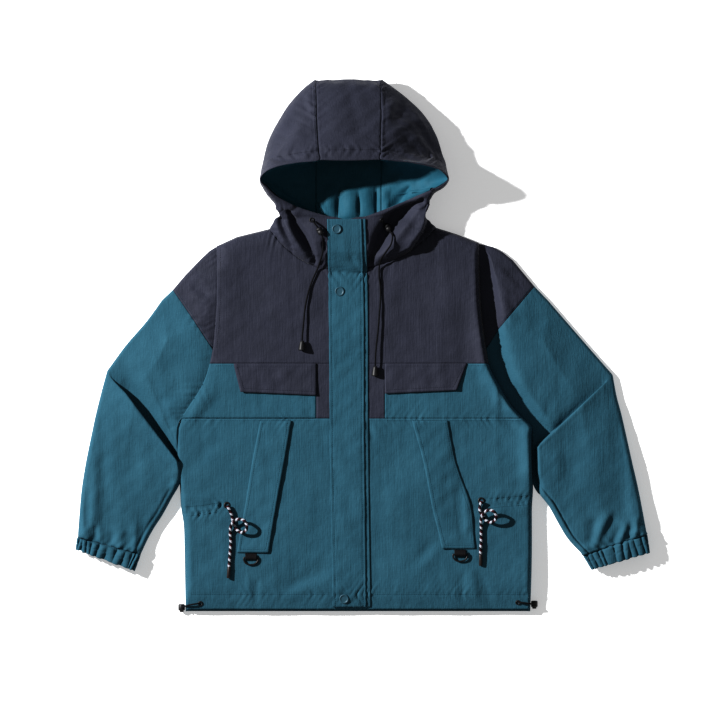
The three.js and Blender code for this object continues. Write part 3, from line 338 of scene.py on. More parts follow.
# line, depth of the groove, height of the ripples beside it, their reach
def front_seams():
    seams = []
    for side in SIDES:
        inner = BAND_X[side]
        outer = float(EDGE[side](MID_SEAM_Y))
        seams.append((((outer, MID_SEAM_Y), (inner, MID_SEAM_Y)), 0.4, 0.8, 11))
        seams.append((neckline(side, np.linspace(0, 1, 16)), 0.9, 1.3, 16))
        seams.append((((OUT[side] * 300, HEM_STITCH_Y), (-12, HEM_STITCH_Y)), 0.5, 0.6, 16))
    return seams + [(((-315, 181), (-275, 184), (-236, 190)), 1.0, 2.6, 5),
                    (((-315, 171), (-275, 173), (-240, 180)), 0.7, 2.2, 5),
                    (((315, 203), (270, 199), (232, 197)), 0.8, 1.8, 5),
                    (((315, 192), (270, 189), (236, 186)), 0.6, 1.6, 5)]


FRONT_SEAMS = front_seams()


def armhole_line(side):
    rows = BODY_EDGE[BODY_EDGE[:, 0] >= UNDERARM_Y[side]]
    return rows[:, [EDGE_COLUMN[side], 0]]


def at_armhole(x, y, relief):
    """Fades a relief out at the armholes and puckers the cloth beside them."""
    for k, side in enumerate(SIDES):
        d, s = to_line(x, y, armhole_line(side))
        low = 0.35 if side == "right" else 0.5 + 0.9 * peak(s, 55, 100)
        relief = relief * clamp(d / 9) + puckers(d, s, 22, 1.2 * low, 37 * k)
    return relief


def front_relief(x, y):
    total = creases(x, y, FRONT_CREASES)
    total += cloth_hand(x, y, 0.9, 0.25, 0.12, 0.06)
    for k, (line, groove, height, reach) in enumerate(FRONT_SEAMS):
        d, s = to_line(x, y, line)
        total += puckers(d, s, reach, height, 37 * k) - groove * peak(d, 1.8)
    return at_armhole(x, y, total)


def front_base(x, y):
    """Height of the fronts' outer face before its folds."""
    z = np.full(np.broadcast(x, y).shape, LOFT)
    for side in SIDES:
        here = (x < centre_x(y)) if side == "left" else (x >= centre_x(y))
        inside = np.abs(EDGE[side](y) - x)
        rounded = clamp((UNDERARM_Y[side] - y) / 20 + 0.5)
        low = lerp(armhole_z(side, y), side_z(side, y), rounded)
        reach = lerp(ARMHOLE_REACH if side == "left" else 9.0, EDGE_ROLL, rounded)
        height = rise(inside, reach, low, LOFT, rounded if side == "left" else 1.0)
        neck_x = abs(NECKLINE[side][2][0])
        near_shoulder = np.abs(x) >= neck_x - 30
        drop = rise(shoulder_y(x, side) - y, SHOULDER_REACH, SIDE_Z, LOFT, 1)
        blend = clamp((np.abs(x) - neck_x + 30) / 30)
        height = np.where(near_shoulder, np.minimum(height, lerp(LOFT, drop, blend)), height)
        z = np.where(here, height, z)
    return np.minimum(z, rise(y - FRONT_HEM_Y, HEM_RISE, HEM_Z, LOFT, 0))


def right_ridge(x, y):
    """The right of the body stands up along the armhole and the underarm."""
    inside = edge_right(y) - x
    window = clamp((y - 205) / 40) * clamp((600 - y) / 120) * (x > 100)
    return RIDGE * window * peak(np.maximum(inside - 7, 0), 15) * clamp(inside / 4)


def front_z(x, y):
    settle = clamp((front_base(x, y) - SIDE_Z + 6) / 12)
    return front_base(x, y) + front_relief(x, y) * settle + right_ridge(x, y)


# The underside lies on the floor, and its folds are narrow hollows.
BACK_CREASES = (
    (-200, 560, -120, 420, 10, 3.0, 0.3), (190, 540, 110, 400, 10, 3.0, 0.3),
    (-60, 500, -90, 300, 9, 2.2, 0.3),
    (50, 480, 80, 280, 9, 2.4, 0.2), (-250, 330, -180, 220, 10, 2.8, 0.4),
    (250, 320, 190, 210, 10, 2.8, 0.4),
    (-180, 170, -190, 50, 9, 2.2, 0.2), (-60, 180, -50, 60, 8, 2.0, 0.2),
    (70, 170, 60, 50, 8, 2.2, 0.2),
    (200, 160, 210, 60, 9, 2.2, 0.2), (-280, 186, 280, 196, 5, 2.4, 0.3),
)


def back_z(x, y):
    z = np.zeros(np.broadcast(x, y).shape)
    for side in SIDES:
        here = (x < 0) if side == "left" else (x >= 0)
        inside = np.abs(EDGE[side](y) - x)
        curl = clamp((UNDERARM_Y[side] - y) / 20)
        edge_z = side_z(side, y)
        height = (edge_z - rise(inside, BACK_ROLL, 0, edge_z, 1)) * curl
        neck_x = abs(NECKLINE[side][2][0])
        up = SIDE_Z - rise(shoulder_y(x, side) - y, BACK_ROLL, 0, SIDE_Z, 1)
        height = np.where(np.abs(x) >= neck_x - 12, np.maximum(height, up), height)
        z = np.where(here, height, z)
    lift = creases(x, y, BACK_CREASES) + 0.5 * soft_sag(x + 400, y) + 0.12 * crumple(x, y + 300)
    return z + np.maximum(lift, 0) * clamp((y - 20) / 20)


def under_placket_z(x, y):
    neck = np.interp(y, NECK_FRONT_Z[:, 0], NECK_FRONT_Z[:, 1])
    return np.where(y > NECK_FRONT_Z[0, 0], neck, front_z(x, y))


# ------------------------------------------------------------------ walls
def grid_normals(p, ring=False):
    if ring:
        across = np.roll(p, -1, axis=1) - np.roll(p, 1, axis=1)
    else:
        across = np.gradient(p, axis=1)
    up = np.gradient(p, axis=0)
    n = np.cross(across, up)
    return n / np.maximum(np.linalg.norm(n, axis=2, keepdims=True), 1e-9)


def grid_area(p, ring=False):
    """Area of one face of a grid, in square metres."""
    q = np.concatenate([p, p[:, :1]], axis=1) if ring else p
    a, b = q[1:, 1:] - q[:-1, :-1], q[1:, :-1] - q[:-1, 1:]
    return float(np.linalg.norm(np.cross(a, b), axis=2).sum() / 2e6)


def new_mesh(name, verts, faces, material):
    mesh = bpy.data.meshes.new(name)
    mesh.vertices.add(len(verts))
    mesh.vertices.foreach_set("co", np.asarray(verts, np.float32).ravel())
    faces = np.asarray(faces, np.int32)
    size = faces.shape[1]
    mesh.loops.add(faces.size)
    mesh.loops.foreach_set("vertex_index", faces.ravel())
    mesh.polygons.add(len(faces))
    mesh.polygons.foreach_set("loop_start", np.arange(len(faces), dtype=np.int32) * size)
    mesh.polygons.foreach_set("use_smooth", np.ones(len(faces), bool))
    mesh.update(calc_edges=True)
    mesh.materials.append(material)
    obj = bpy.data.objects.new(name, mesh)
    bpy.context.scene.collection.objects.link(obj)
    return obj


def grid_faces(rows, columns, row_ring=False, ring=False):
    """The quads of a grid of vertices, which may close on itself either way."""
    r, c = np.meshgrid(np.arange(rows if row_ring else rows - 1),
                       np.arange(columns if ring else columns - 1), indexing="ij")
    up, right = (r + 1) % rows * columns, (c + 1) % columns
    r = r * columns
    return np.stack([r + c, r + right, up + right, up + c], -1).reshape(-1, 4)


def wall(name, grid, near, far, material, ring=False, flip=False):
    """A closed wall over a grid between two distances measured outward from it, in mm."""
    p = np.asarray(grid, float)
    if flip:
        p = p[:, ::-1]
    n = grid_normals(p, ring)
    rows, columns = p.shape[:2]
    verts = np.concatenate([(p + n * far).reshape(-1, 3), (p + n * near).reshape(-1, 3)])
    faces = grid_faces(rows, columns, ring=ring)
    inner = rows * columns
    quads = [faces, faces[:, [0, 3, 2, 1]] + inner]

    def close(a, b):
        quads.append(np.stack([a + inner, b + inner, b, a], -1))

    first = np.arange(columns if ring else columns - 1)
    second = (first + 1) % columns
    last = (rows - 1) * columns
    close(first, second)
    close(second + last, first + last)
    if not ring:
        low = np.arange(rows - 1) * columns
        high, end = low + columns, columns - 1
        close(high, low)
        close(low + end, high + end)
    return new_mesh(name, place(verts), np.concatenate(quads), material)


def dip(p, edges, depth=1.3, reach=2.6, ring=False):
    """Rolls a grid's named edges down into their seams."""
    n = grid_normals(p, ring)
    rows, columns = (np.insert(np.cumsum(np.linalg.norm(np.diff(p, axis=a), axis=2), a), 0, 0, a)
                     for a in (0, 1))
    distance = {"first": rows, "last": rows[-1] - rows, "start": columns,
                "end": columns[:, -1:] - columns}
    out = p.copy()
    for edge in edges:
        out -= n * (depth * peak(distance[edge], reach))[..., None]
    return out


def sheet(obj, grid, node_name, slot, ring=False, held="laid", rests_on=()):
    """Hides the CAD part that a cloth piece replaces and fixes the piece to the root body; its area and
    runs are worked out here but not used.
    """
    area = grid_area(grid, ring)
    length = float(np.linalg.norm(np.diff(grid, axis=0), axis=2).sum(0).max()) / 1000
    across = np.diff(np.concatenate([grid, grid[:, :1]], 1) if ring else grid, axis=1)
    width = float(np.linalg.norm(across, axis=2).sum(1).max()) / 1000
    width = min(width, area / (0.34 * length))
    width, length = (max(size, area / other) + 0.001
                     for size, other in ((width, length), (length, width)))
    hard(obj, node_name)


def panel(name, grid, material, near=-CLOTH, far=0, ring=False, flip=False, **cut):
    obj = wall("shell_" + name, grid, near, far, material, ring, flip)
    sheet(obj, grid, name, SLOT[material.name], ring, **cut)


def spread(length, spacing):
    return np.linspace(0, 1, max(int(round(length / spacing)), 2) + 1)


# ------------------------------------------------------------------ materials
def srgb(r, g, b):
    """Linear colour of an 8-bit one."""
    def linear(v):
        v /= 255
        return v / 12.92 if v <= 0.04045 else ((v + 0.055) / 1.055) ** 2.4
    return tuple(linear(v) for v in (r, g, b)) + (1.0,)


def node(tree, kind, *feeds, **settings):
    """A shader node with its settings; other nodes' outputs or numbers feed its inputs in turn."""
    made = tree.nodes.new("ShaderNode" + kind)
    for key, value in settings.items():
        if key in made.inputs:
            made.inputs[key].default_value = value
        else:
            setattr(made, key, value)
    for key, feed in enumerate(feeds):
        join(tree, feed, made, key)
    return made


def join(tree, feed, made, key):
    """Gives an input another node's output, or a plain value."""
    if isinstance(feed, (int, float, tuple)):
        made.inputs[key].default_value = feed
    elif feed is not None:
        tree.links.new(feed, made.inputs[key])


def maths(tree, operation, *feeds, **settings):
    return node(tree, "Math", *feeds, operation=operation, **settings).outputs[0]


def new_material(name, **settings):
    """A material, its node tree and its shader."""
    material = bpy.data.materials.new(name)
    material.use_nodes = True
    shader = material.node_tree.nodes["Principled BSDF"]
    for key, value in settings.items():
        shader.inputs[key.replace("_", " ")].default_value = value
    return material, material.node_tree, shader


def two_tones(tree, feed, low, first, high, second):
    """Blends two colours between two levels of a noise."""
    ramp = node(tree, "ValToRGB", feed)
    ends = ramp.color_ramp.elements
    ends[0].position, ends[0].color = low, first
    ends[1].position, ends[1].color = high, second
    return ramp.outputs["Color"]


def relief(tree, height, strength, depth, normal=None):
    bump = node(tree, "Bump", Strength=strength, Distance=depth)
    join(tree, height, bump, "Height")
    join(tree, normal, bump, "Normal")
    return bump.outputs["Normal"]


def noise(tree, where, scale, detail, **settings):
    return node(tree, "TexNoise", where, Scale=scale, Detail=detail, **settings).outputs["Fac"]


def cloth_material(name, light, dark, roughness, sheen, gloss=0.05, streak=0.5, bump=0.5):
    """Woven cloth: slubbed threads both ways, soft mottling, and a crinkled hand."""
    material, tree, shader = new_material(name, Roughness=roughness, Sheen_Weight=sheen,
                                          Sheen_Roughness=0.35, Specular_IOR_Level=gloss)
    where = node(tree, "TexCoord").outputs["Object"]

    def stretched(sx, sy, detail):
        mapping = node(tree, "Mapping", where, Scale=(sx, sy, 400))
        return noise(tree, mapping.outputs["Vector"], 1.0, detail, Roughness=0.6)

    threads = maths(tree, "ADD", stretched(900, 60, 2.0), stretched(60, 900, 2.0))
    mottle = noise(tree, where, 26.0, 5.0, Roughness=0.6)
    halved = maths(tree, "MULTIPLY", threads, 0.5)
    blend = node(tree, "Mix", 1 - streak, None, halved, mottle, data_type="FLOAT").outputs[0]
    colour = two_tones(tree, blend, 0.36, dark, 0.64, light)
    uneven = maths(tree, "ADD", stretched(190, 150, 4.0), stretched(420, 22, 3.0))
    normal = relief(tree, threads, 0.45, 0.0006, relief(tree, uneven, bump, 0.0012))
    join(tree, colour, shader, "Base Color")
    join(tree, normal, shader, "Normal")
    return material


def hard_material(name, colour, edge, roughness, metallic=0.0, grain=900.0, bump=0.15):
    """Moulded plastic or enamelled metal, with a fine grain and paler worn places."""
    material, tree, shader = new_material(name, Roughness=roughness, Metallic=metallic)
    where = node(tree, "TexCoord").outputs["Object"]
    worn = two_tones(tree, noise(tree, where, 260.0, 4.0), 0.45, colour, 0.75, edge)
    join(tree, worn, shader, "Base Color")
    join(tree, relief(tree, noise(tree, where, grain, 2.0), bump, 0.0004), shader, "Normal")
    return material


def paracord_material():
    """Braided cord: white and black strands that spiral, with flecks of maroon.

    Its UV is the length in mm and the turn."""
    material, tree, shader = new_material("paracord", Roughness=0.75, Specular_IOR_Level=0.2)
    uv = node(tree, "UVMap", uv_map="along")
    parts = node(tree, "SeparateXYZ", uv.outputs["UV"])

    def wave(per_mm, turns, sharp, offset=0.0):
        """0 to 1 stripes that spiral along the cord."""
        steps = [maths(tree, "MULTIPLY", parts.outputs[output], factor * TURN)
                 for output, factor in (("X", per_mm), ("Y", turns))]
        shifted = maths(tree, "ADD", maths(tree, "ADD", *steps), offset)
        return maths(tree, "MULTIPLY_ADD", maths(tree, "SINE", shifted), sharp, 0.5, use_clamp=True)

    def mixed(factor, first, second):
        mix = node(tree, "Mix", data_type="RGBA")
        for key, feed in ((0, factor), (6, first), (7, second)):
            join(tree, feed, mix, key)
        return mix.outputs[2]

    strands, crossing = wave(1 / 2.6, 3, 4.0), wave(1 / 2.6, -3, 4.0)
    band = wave(1 / 11.0, 1, 3.5)
    pale = mixed(crossing, srgb(196, 198, 206), srgb(150, 152, 160))
    dark = mixed(crossing, srgb(24, 23, 27), srgb(12, 12, 14))
    fleck = maths(tree, "MULTIPLY", wave(1 / 11.0, 1, 6.0, 2.2), wave(1 / 5.5, 1, 6.0, 1.0))
    colour = mixed(fleck, mixed(band, dark, pale), srgb(70, 24, 34))
    join(tree, colour, shader, "Base Color")
    weave = maths(tree, "MULTIPLY", strands, crossing)
    join(tree, relief(tree, weave, 0.8, 0.0006), shader, "Normal")
    return material


SLOT = {"teal_shell": "teal_cloth", "navy_shell": "navy_cloth", "teal_lining": "lining"}
TEAL = cloth_material("teal_shell", srgb(62, 101, 116), srgb(55, 93, 108), 0.7, 0.03)
NAVY = cloth_material("navy_shell", srgb(64, 66, 79), srgb(57, 59, 70), 0.58, 0.14, gloss=0.08)
LINING = cloth_material("teal_lining", srgb(56, 102, 118), srgb(46, 92, 108), 0.5, 0.0, bump=0.3)
WEBBING = cloth_material("black_webbing", srgb(40, 38, 40), srgb(26, 25, 27), 0.7, 0.1, streak=0.9)
BLACK = hard_material("black_plastic", srgb(24, 24, 26), srgb(38, 38, 41), 0.5)
METAL = hard_material("black_ring", srgb(24, 24, 27), srgb(38, 38, 41), 0.42, metallic=0.2)
SNAP = hard_material("teal_snap", srgb(48, 84, 98), srgb(54, 92, 106), 0.5)
ELASTIC = cloth_material("black_elastic", srgb(32, 32, 35), srgb(20, 20, 22), 0.6, 0.1, streak=0.8)
AGLET = hard_material("brown_aglet", srgb(42, 33, 32), srgb(58, 48, 46), 0.4)
PARACORD = paracord_material()
FLOOR = hard_material("pale_floor", srgb(231, 231, 231), srgb(233, 233, 233), 0.9, grain=40.0,
                      bump=0.02)
_glow = FLOOR.node_tree.nodes["Principled BSDF"]
_glow.inputs["Emission Color"].default_value = (1, 1, 1, 1)
_glow.inputs["Emission Strength"].default_value = 0.42


# ------------------------------------------------------------------ body
def front_panel(y0, y1, outer, inner, spacing=FINE):
    ys = lerp(y0, y1, spread(abs(y1 - y0), spacing))
    width = np.abs(outer(ys) - inner(ys)).max()
    t = spread(width, spacing)
    x = lerp(outer(ys)[:, None], inner(ys)[:, None], t[None])
    y = np.broadcast_to(ys[:, None], x.shape)
    return np.stack([x, y, front_z(x, y)], -1)


def make_fronts():
    for side in SIDES:
        flip = side == "right"
        edge = EDGE[side]
        band = lambda y, s=side: np.full(np.shape(y), BAND_X[s])
        armhole = ["start"] if flip else []
        lower = dip(front_panel(FRONT_HEM_Y, MID_SEAM_Y, edge, centre_x), ["last"], *SEAM_DIP)
        panel(f"front_lower_{side}", lower, TEAL, flip=flip, rests_on=["shell_back_body"])
        mid = dip(front_panel(MID_SEAM_Y, YOKE_Y, edge, band), ["first", "end"] + armhole, *SEAM_DIP)
        panel(f"front_mid_{side}", mid, TEAL, flip=flip, rests_on=["shell_back_body"])
        strip = dip(front_panel(MID_SEAM_Y, YOKE_Y, band, centre_x), ["first", "start"], *SEAM_DIP)
        panel(f"front_band_{side}", strip, NAVY, flip=flip, rests_on=["shell_back_body"])
        yoke = dip(yoke_grid(side), armhole, 0.6)
        panel(f"front_yoke_{side}", yoke, NAVY, flip=flip, rests_on=["shell_back_yoke"])


def yoke_grid(side):
    """Columns rise from the yoke's lower edge to the shoulder seam and the neckline."""
    outer, _, neck = SHOULDER[side]
    t = spread(abs(outer[0] - neck[0]), FINE)
    xs = lerp(outer[0], neck[0], t)
    tops = np.column_stack([xs, shoulder_y(xs, side)])
    curve = neckline(side, np.linspace(1, 0, 50))[1:]
    tops = np.concatenate([tops, curve])
    edge = float(EDGE[side](YOKE_Y))
    run = np.concatenate([[0], np.cumsum(np.abs(np.diff(tops[:, 0])))])
    feet = lerp(edge, float(centre_x(YOKE_Y)), run / run[-1])
    v = spread(outer[1] - YOKE_Y, FINE)[:, None]
    y = lerp(YOKE_Y, tops[None, :, 1], v)
    arm_y = lerp(YOKE_Y, outer[1], v)
    pull = EDGE[side](arm_y) - lerp(feet[0], tops[0, 0], v)
    x = lerp(feet[None], tops[None, :, 0], v) + pull * clamp(1 - run / 90)[None]
    return np.stack([x, y, front_z(x, y)], -1)


def make_back():
    ys = lerp(0, YOKE_Y, spread(YOKE_Y, COARSE))
    t = spread(600, COARSE)
    ends = np.array([0, 0.003, 0.008, 0.014, 0.02])
    t = np.unique(np.concatenate([ends, t, 1 - ends]))
    x = lerp(edge_left(ys)[:, None], edge_right(ys)[:, None], t[None])
    y = np.broadcast_to(ys[:, None], x.shape)
    body = np.stack([x, y, back_z(x, y)], -1)
    panel("back_body", body, TEAL, flip=True)
    tops = []
    for side in SIDES:
        outer, _, neck = SHOULDER[side]
        xs = lerp(outer[0], neck[0], spread(abs(outer[0] - neck[0]), COARSE))
        seam = np.column_stack([xs, shoulder_y(xs, side)])
        tops.append(seam if side == "left" else seam[::-1])
    left, right = tops
    middle_x = np.linspace(left[-1, 0], right[0, 0], 40)[1:-1]
    side_gap = np.minimum(middle_x - left[-1, 0], right[0, 0] - middle_x)
    middle = np.column_stack([middle_x, BACK_NECK_Y + 9 * np.exp(-side_gap / 8)])
    tops = np.concatenate([left, middle, right])
    run = (tops[:, 0] - tops[0, 0]) / (tops[-1, 0] - tops[0, 0])
    v = np.unique(np.concatenate([spread(210, COARSE), [0.94, 0.96, 0.98, 0.99]]))[:, None]
    feet = lerp(edge_left(YOKE_Y), edge_right(YOKE_Y), run)
    y = lerp(YOKE_Y, tops[None, :, 1], v)
    x = lerp(feet[None], tops[None, :, 0], v)
    left_pull = edge_left(y[:, :1]) - x[:, :1]
    right_pull = edge_right(y[:, -1:]) - x[:, -1:]
    x = x + left_pull * clamp(1 - run / 0.15)[None] + right_pull * clamp(1 - (1 - run) / 0.15)[None]
    yoke = np.stack([x, y, back_z(x, y)], -1)
    panel("back_yoke", yoke, NAVY, flip=True)


PLACKET_CREASES = (
    (-50, 612, 8, 598, 7, -2.6, 0.6), (-8, 630, 12, 600, 5, -2.2, 0.7),
    (-30, 590, 10, 615, 12, 1.8, 0.2), (-22, 660, -14, 625, 8, 1.4, 0.2),
)


def strip_grid(left, right, y0, y1, spacing=FINE):
    ys = lerp(y0, y1, spread(y1 - y0, spacing))
    t = spread(np.abs(right(ys) - left(ys)).max(), spacing / 2)
    x = lerp(left(ys)[:, None], right(ys)[:, None], t[None])
    y = np.broadcast_to(ys[:, None], x.shape)
    return np.stack([x, y, under_placket_z(x, y)], -1)


def make_placket():
    under = strip_grid(lambda y: centre_x(y) + 6, strip_right, 8, 693)
    panel("placket_under", under, TEAL, 0.5, 0.5 + CLOTH, rests_on=["shell_front_lower_right"])
    over = strip_grid(placket_left, placket_right, 8, 693)
    x, y = over[..., 0], over[..., 1]
    left_gap, right_gap = x - placket_left(y), placket_right(y) - x
    relief = creases(x, y, PLACKET_CREASES) + 0.25 * crumple(x, y)
    relief -= 0.55 * peak(left_gap, 1.3, 5) + 0.5 * peak(right_gap, 1.3, 5)
    relief += 0.25 * seam_ripple(y) * np.exp(-np.minimum(left_gap, right_gap) / 9)
    over[..., 2] += relief * 0.8
    panel("placket", over, TEAL, 2.0, 2.0 + PLACKET_CLOTH, rests_on=["shell_front_lower_left"])


# ------------------------------------------------------------------ flaps
# outer end at the top and bottom, height of the free edge outside and inside
CHEST_FLAP = {"left": (-216, -204, 388, 382), "right": (196, 178, 391, 385)}
# y, sewn edge, free edge
POCKET_FLAP = {
    "left": np.array([(104, -210, -154), (125, -207, -151), (185, -196, -141), (262, -183.5, -127),
                      (337, -169, -114)], float),
    "right": np.array([(111, 211, 152), (130, 209, 148), (178, 205, 136), (265, 176, 119),
                       (337, 162, 99)], float)}
FLAP_CREASES = (
    (186, 214, 191, 135, 6, -2.4, 0.7), (160, 300, 150, 220, 12, 1.5, 0.2),
    (-160, 290, -170, 200, 12, 1.3, 0.3), (-190, 160, -200, 118, 7, -1.4, 0.5),
)


def edge_gap(shape, spacing_rows, spacing_columns):
    """Distance of each grid point to the nearest edge of its piece."""
    r, c = np.indices(shape)
    down = np.minimum(r, shape[0] - 1 - r) * spacing_rows
    across = np.minimum(c, shape[1] - 1 - c) * spacing_columns
    return np.minimum(down, across)


def turned_edge(gap, stitch_in=6.0):
    """Relief of a stitched, turned edge: rounded over, with a sunk line of stitches."""
    return -0.9 * peak(gap, 1.6) - 0.45 * peak(gap, 1.2, stitch_in)


def make_flaps():
    for side in SIDES:
        flip = side == "right"
        top, bottom, outer_y, inner_y = CHEST_FLAP[side]
        v = spread(YOKE_Y - outer_y, 2)[:, None]
        t = spread(abs(top - BAND_X[side]), FINE)[None]
        x = lerp(lerp(bottom, top, v), BAND_X[side], t)
        y = lerp(lerp(outer_y, inner_y, t), YOKE_Y, v)
        lift = 1.2 + 2.2 * np.exp(-v * 5) + 2.5 * peak(t, 0.05) * np.exp(-v * 2)
        gap = edge_gap(x.shape, 2.0, FINE)
        lift = lift + turned_edge(gap) + 0.3 * crumple(x, y)
        chest = np.stack([x, y, front_z(x, y) + lift], -1)
        panel(f"chest_flap_{side}", chest, NAVY, -0.2, TRIM_CLOTH, flip=flip,
              rests_on=[f"shell_front_mid_{side}"])
        rows = POCKET_FLAP[side]
        ys = lerp(rows[0, 0], rows[-1, 0], spread(rows[-1, 0] - rows[0, 0], FINE))
        sewn = smooth(rows[:, 0], rows[:, 1])(ys)
        free = smooth(rows[:, 0], rows[:, 2])(ys)
        t = spread(58, 2.5)[None]
        x = lerp(sewn[:, None], free[:, None], t)
        y = np.broadcast_to(ys[:, None], x.shape)
        low = clamp((ys - rows[0, 0]) / 60)[:, None]
        high = clamp((rows[-1, 0] - ys) / 80)[:, None]
        lift = FLAP_LIFT * t**1.6 * (0.35 + 0.65 * high) * (0.6 + 0.4 * low)
        lift = 0.8 + lift + turned_edge(edge_gap(x.shape, FINE, 2.5)) + 0.3 * crumple(x, y)
        lift = lift + np.maximum(creases(x, y, FLAP_CREASES), -lift * 0.9)
        pocket = np.stack([x, y, front_z(x, y) + lift], -1)
        panel(f"pocket_flap_{side}", pocket, TEAL, 0.0, TRIM_CLOTH, flip=flip,
              rests_on=[f"shell_front_lower_{side}"])


# ------------------------------------------------------------------ hood
# Rows of a hood side: start at the face edge or centre seam (x, y, z), outline (x, y, z), and
# the bend of the upper stretch in plan.
HOOD_ROWS = {
    "left": np.array([
        (-71, 939, 33, -73, 939, 26, 0), (-71, 929, 50, -90, 926, 28, 0),
        (-70, 905, 66, -114, 901, 29, 0), (-69, 870, 83, -138, 864, 31, 0),
        (-67, 835, 100, -153, 834, 34, 0), (-65, 808, 112, -161, 808, 37, 0),
        (-64, 795, 115, -163, 798, 38, 0), (-100, 790, 113, -165, 789, 40, 0),
        (-134, 784, 110, -167, 780, 42, 0), (-155, 776, 105, -168, 772, 43, 0),
        (-167, 764, 99, -169, 761, 44, 0), (-156, 748, 80, -163, 744, 38, 0),
        (-143, 735, 66, -153, 730, 34, 0), (-120, 722, 55, -143, 717, 30, 0),
        (-99, 713, 48, -140, 706, 27, 0), (-51, 698, 43, -141, 697, 24, 3),
        (-20, 691, 40, -144, 690, 20, 2), (-20, 665, 39, -147, 685, 17, -14),
        (-20, 636, 34, -150, 680, 13, -26)], float),
    "right": np.array([
        (45, 939, 33, 47, 939, 26, 0), (45, 929, 50, 64, 927, 27, 0),
        (45, 905, 66, 93, 904, 27, 0), (45, 870, 82, 125, 870, 27, 0),
        (44, 835, 98, 144, 835, 28, 0), (44, 808, 110, 153, 806, 32, 0),
        (44, 796, 113, 157, 796, 36, 0), (75, 793, 110, 159, 788, 38, 0),
        (104, 789, 106, 160, 781, 40, 0), (140, 781, 98, 162, 773, 42, 0),
        (161, 765, 91, 163, 761, 44, 0), (149, 751, 78, 153, 748, 40, 0),
        (134, 744, 68, 139, 739, 38, 0), (106, 733, 58, 132, 727, 40, 0),
        (78, 721, 52, 127, 714, 40, 0), (18, 698, 46, 123, 702, 36, 3),
        (-15.5, 691, 43, 125, 694, 30, 2), (-15.5, 665, 40, 131, 688, 22, -12),
        (-15.5, 636, 34, 137, 682, 15, -24)], float)}
# Where each row meets the seam on the floor: x by side, then y and z, and the puff of its middle.
HOOD_SEAM_X = {"left": -71.0, "right": 45.0}
HOOD_SEAM = np.array([
    (939, 17, 0), (929, 3, 0), (905, 0, 0), (870, 0, 0), (838, 0, 0), (815, 0, 0), (802, 0, 0),
    (791, 0, 0), (780, 0, 0), (770, 0, 0), (758, 0, 0), (745, 0, 0), (732, 0, 0), (718, 0, 3),
    (707, 0, 4), (697, 0, 4), (688, 0, 4), (680, 0, 5), (674, 0, 6)], float)
# Where the right neck rolls over and drops to the yoke: its line and its height by y.
NECK_ROLL = ((134, 740), (128, 716), (122.5, 700), (121, 690), (116, 674), (100, 653), (87, 628),
             (80, 608))
NECK_ROLL_Z = ((600, 628, 650, 690, 720, 742), (24, 38, 47, 49, 50, 50))
HOOD_FINE = 2.2
HOOD_TUCK = 0.75
BRIM_ROW, TIP_ROW = 6, 10
HOOD_CLOTH = 1.7
BRIM_BAND = 17.0
# How round the side falls from the roof to the outline, at the crown, brim and neck rows.
CROWN = {"left": (1.7, 1.9, 3.2), "right": (1.12, 1.25, 4.5)}

HOOD_CREASES = (
    # sides, running in from the tips
    (158, 775, 70, 815, 7, 3.0, 0.4), (160, 782, 110, 850, 8, -3.2, 0.5),
    (150, 800, 100, 880, 7, 2.6, 0.4), (158, 790, 84, 842, 8, 2.6, 0.3),
    (70, 905, 56, 860, 9, 2.8, 0.4), (52, 835, 92, 868, 9, 3.4, 0.3),
    (-160, 785, -100, 850, 12, 2.6, 0.4), (-150, 800, -95, 900, 10, -2.2, 0.4),
    (-120, 800, -82, 850, 10, -1.6, 0.4), (-96, 915, -76, 860, 6, -1.8, 0.4),
    (-165, 775, -120, 800, 8, -2.2, 0.4),
    # roof
    (-40, 930, -20, 830, 20, 1.6, 0.2), (20, 920, 10, 830, 18, -1.4, 0.3),
    # puffs of the neck
    (-128, 690, -88, 640, 9, 5.0, 0.2), (-75, 690, -58, 650, 9, 3.0, 0.3),
    (100, 690, 62, 640, 9, 4.0, 0.2), (-150, 715, -152, 690, 6, -3.0, 0.5),
)
# Deep wedges in the fronts of the neck: their lines, half width and depth.
NECK_WEDGES = (
    (((-119, 704), (-102, 674), (-87, 648), (-71, 612)), 8.5, -20.0),
    (((-141, 706), (-128, 672), (-113, 636)), 5.5, -12.0),
    (((-57, 656), (-52, 634)), 4.0, -7.0),
    (((26, 618), (46, 660), (68, 690), (90, 708), (116, 722)), 14.0, -24.0),
)
# Upright folds of the lining where the back of the neck gathers it.
LINING_FOLDS = (
    (-72, 740, -52, 690, 6, 4.5, 0.3), (-46, 752, -44, 690, 13, 6, 0.15),
    (-13, 752, -10, 690, 15, 7, -0.1),
    (20, 752, 21, 690, 12, 6.5, 0.15), (50, 752, 47, 690, 11, 6, 0.2),
    (-30, 730, -24, 700, 5, -1.5, 0.3),
)
LINING_GROOVES = (((-70, 726), (-55, 700)), ((-30, 748), (-33, 692)), ((5, 742), (6, 692)),
                  ((36, 752), (36, 692)))


def hood_under(row, share):
    """From the outline down and in to the floor, then along it to the seam."""
    ox, oy, oz, ex, ey, ez = row
    reach = min(HOOD_TUCK * oz / max(math.hypot(ex - ox, ey - oy), 1e-6), 0.5)
    turn = clamp(share / 0.4)
    along = reach * (1 - np.cos(turn * QUARTER))
    flat = clamp((share - 0.4) / 0.6)
    along = lerp(along, 1, flat)
    z = lerp(oz, ez, np.sin(turn * QUARTER))
    return np.stack([lerp(ox, ex, along), lerp(oy, ey, along), z], -1)


def through_rows(control, spacing):
    """A grid run smoothly through control rows, and each control row's index in it."""
    chord = np.linalg.norm(np.diff(control, axis=0), axis=2)
    run = np.concatenate([[0], np.cumsum(np.maximum(chord.mean(1), 2.0))])
    counts = np.maximum(np.round(np.diff(run) / spacing).astype(int), 1)
    stops = np.concatenate([[0], np.cumsum(counts)])
    params = np.interp(np.arange(stops[-1] + 1), stops, run)
    return spline(run, control, params, (1, 1)), stops


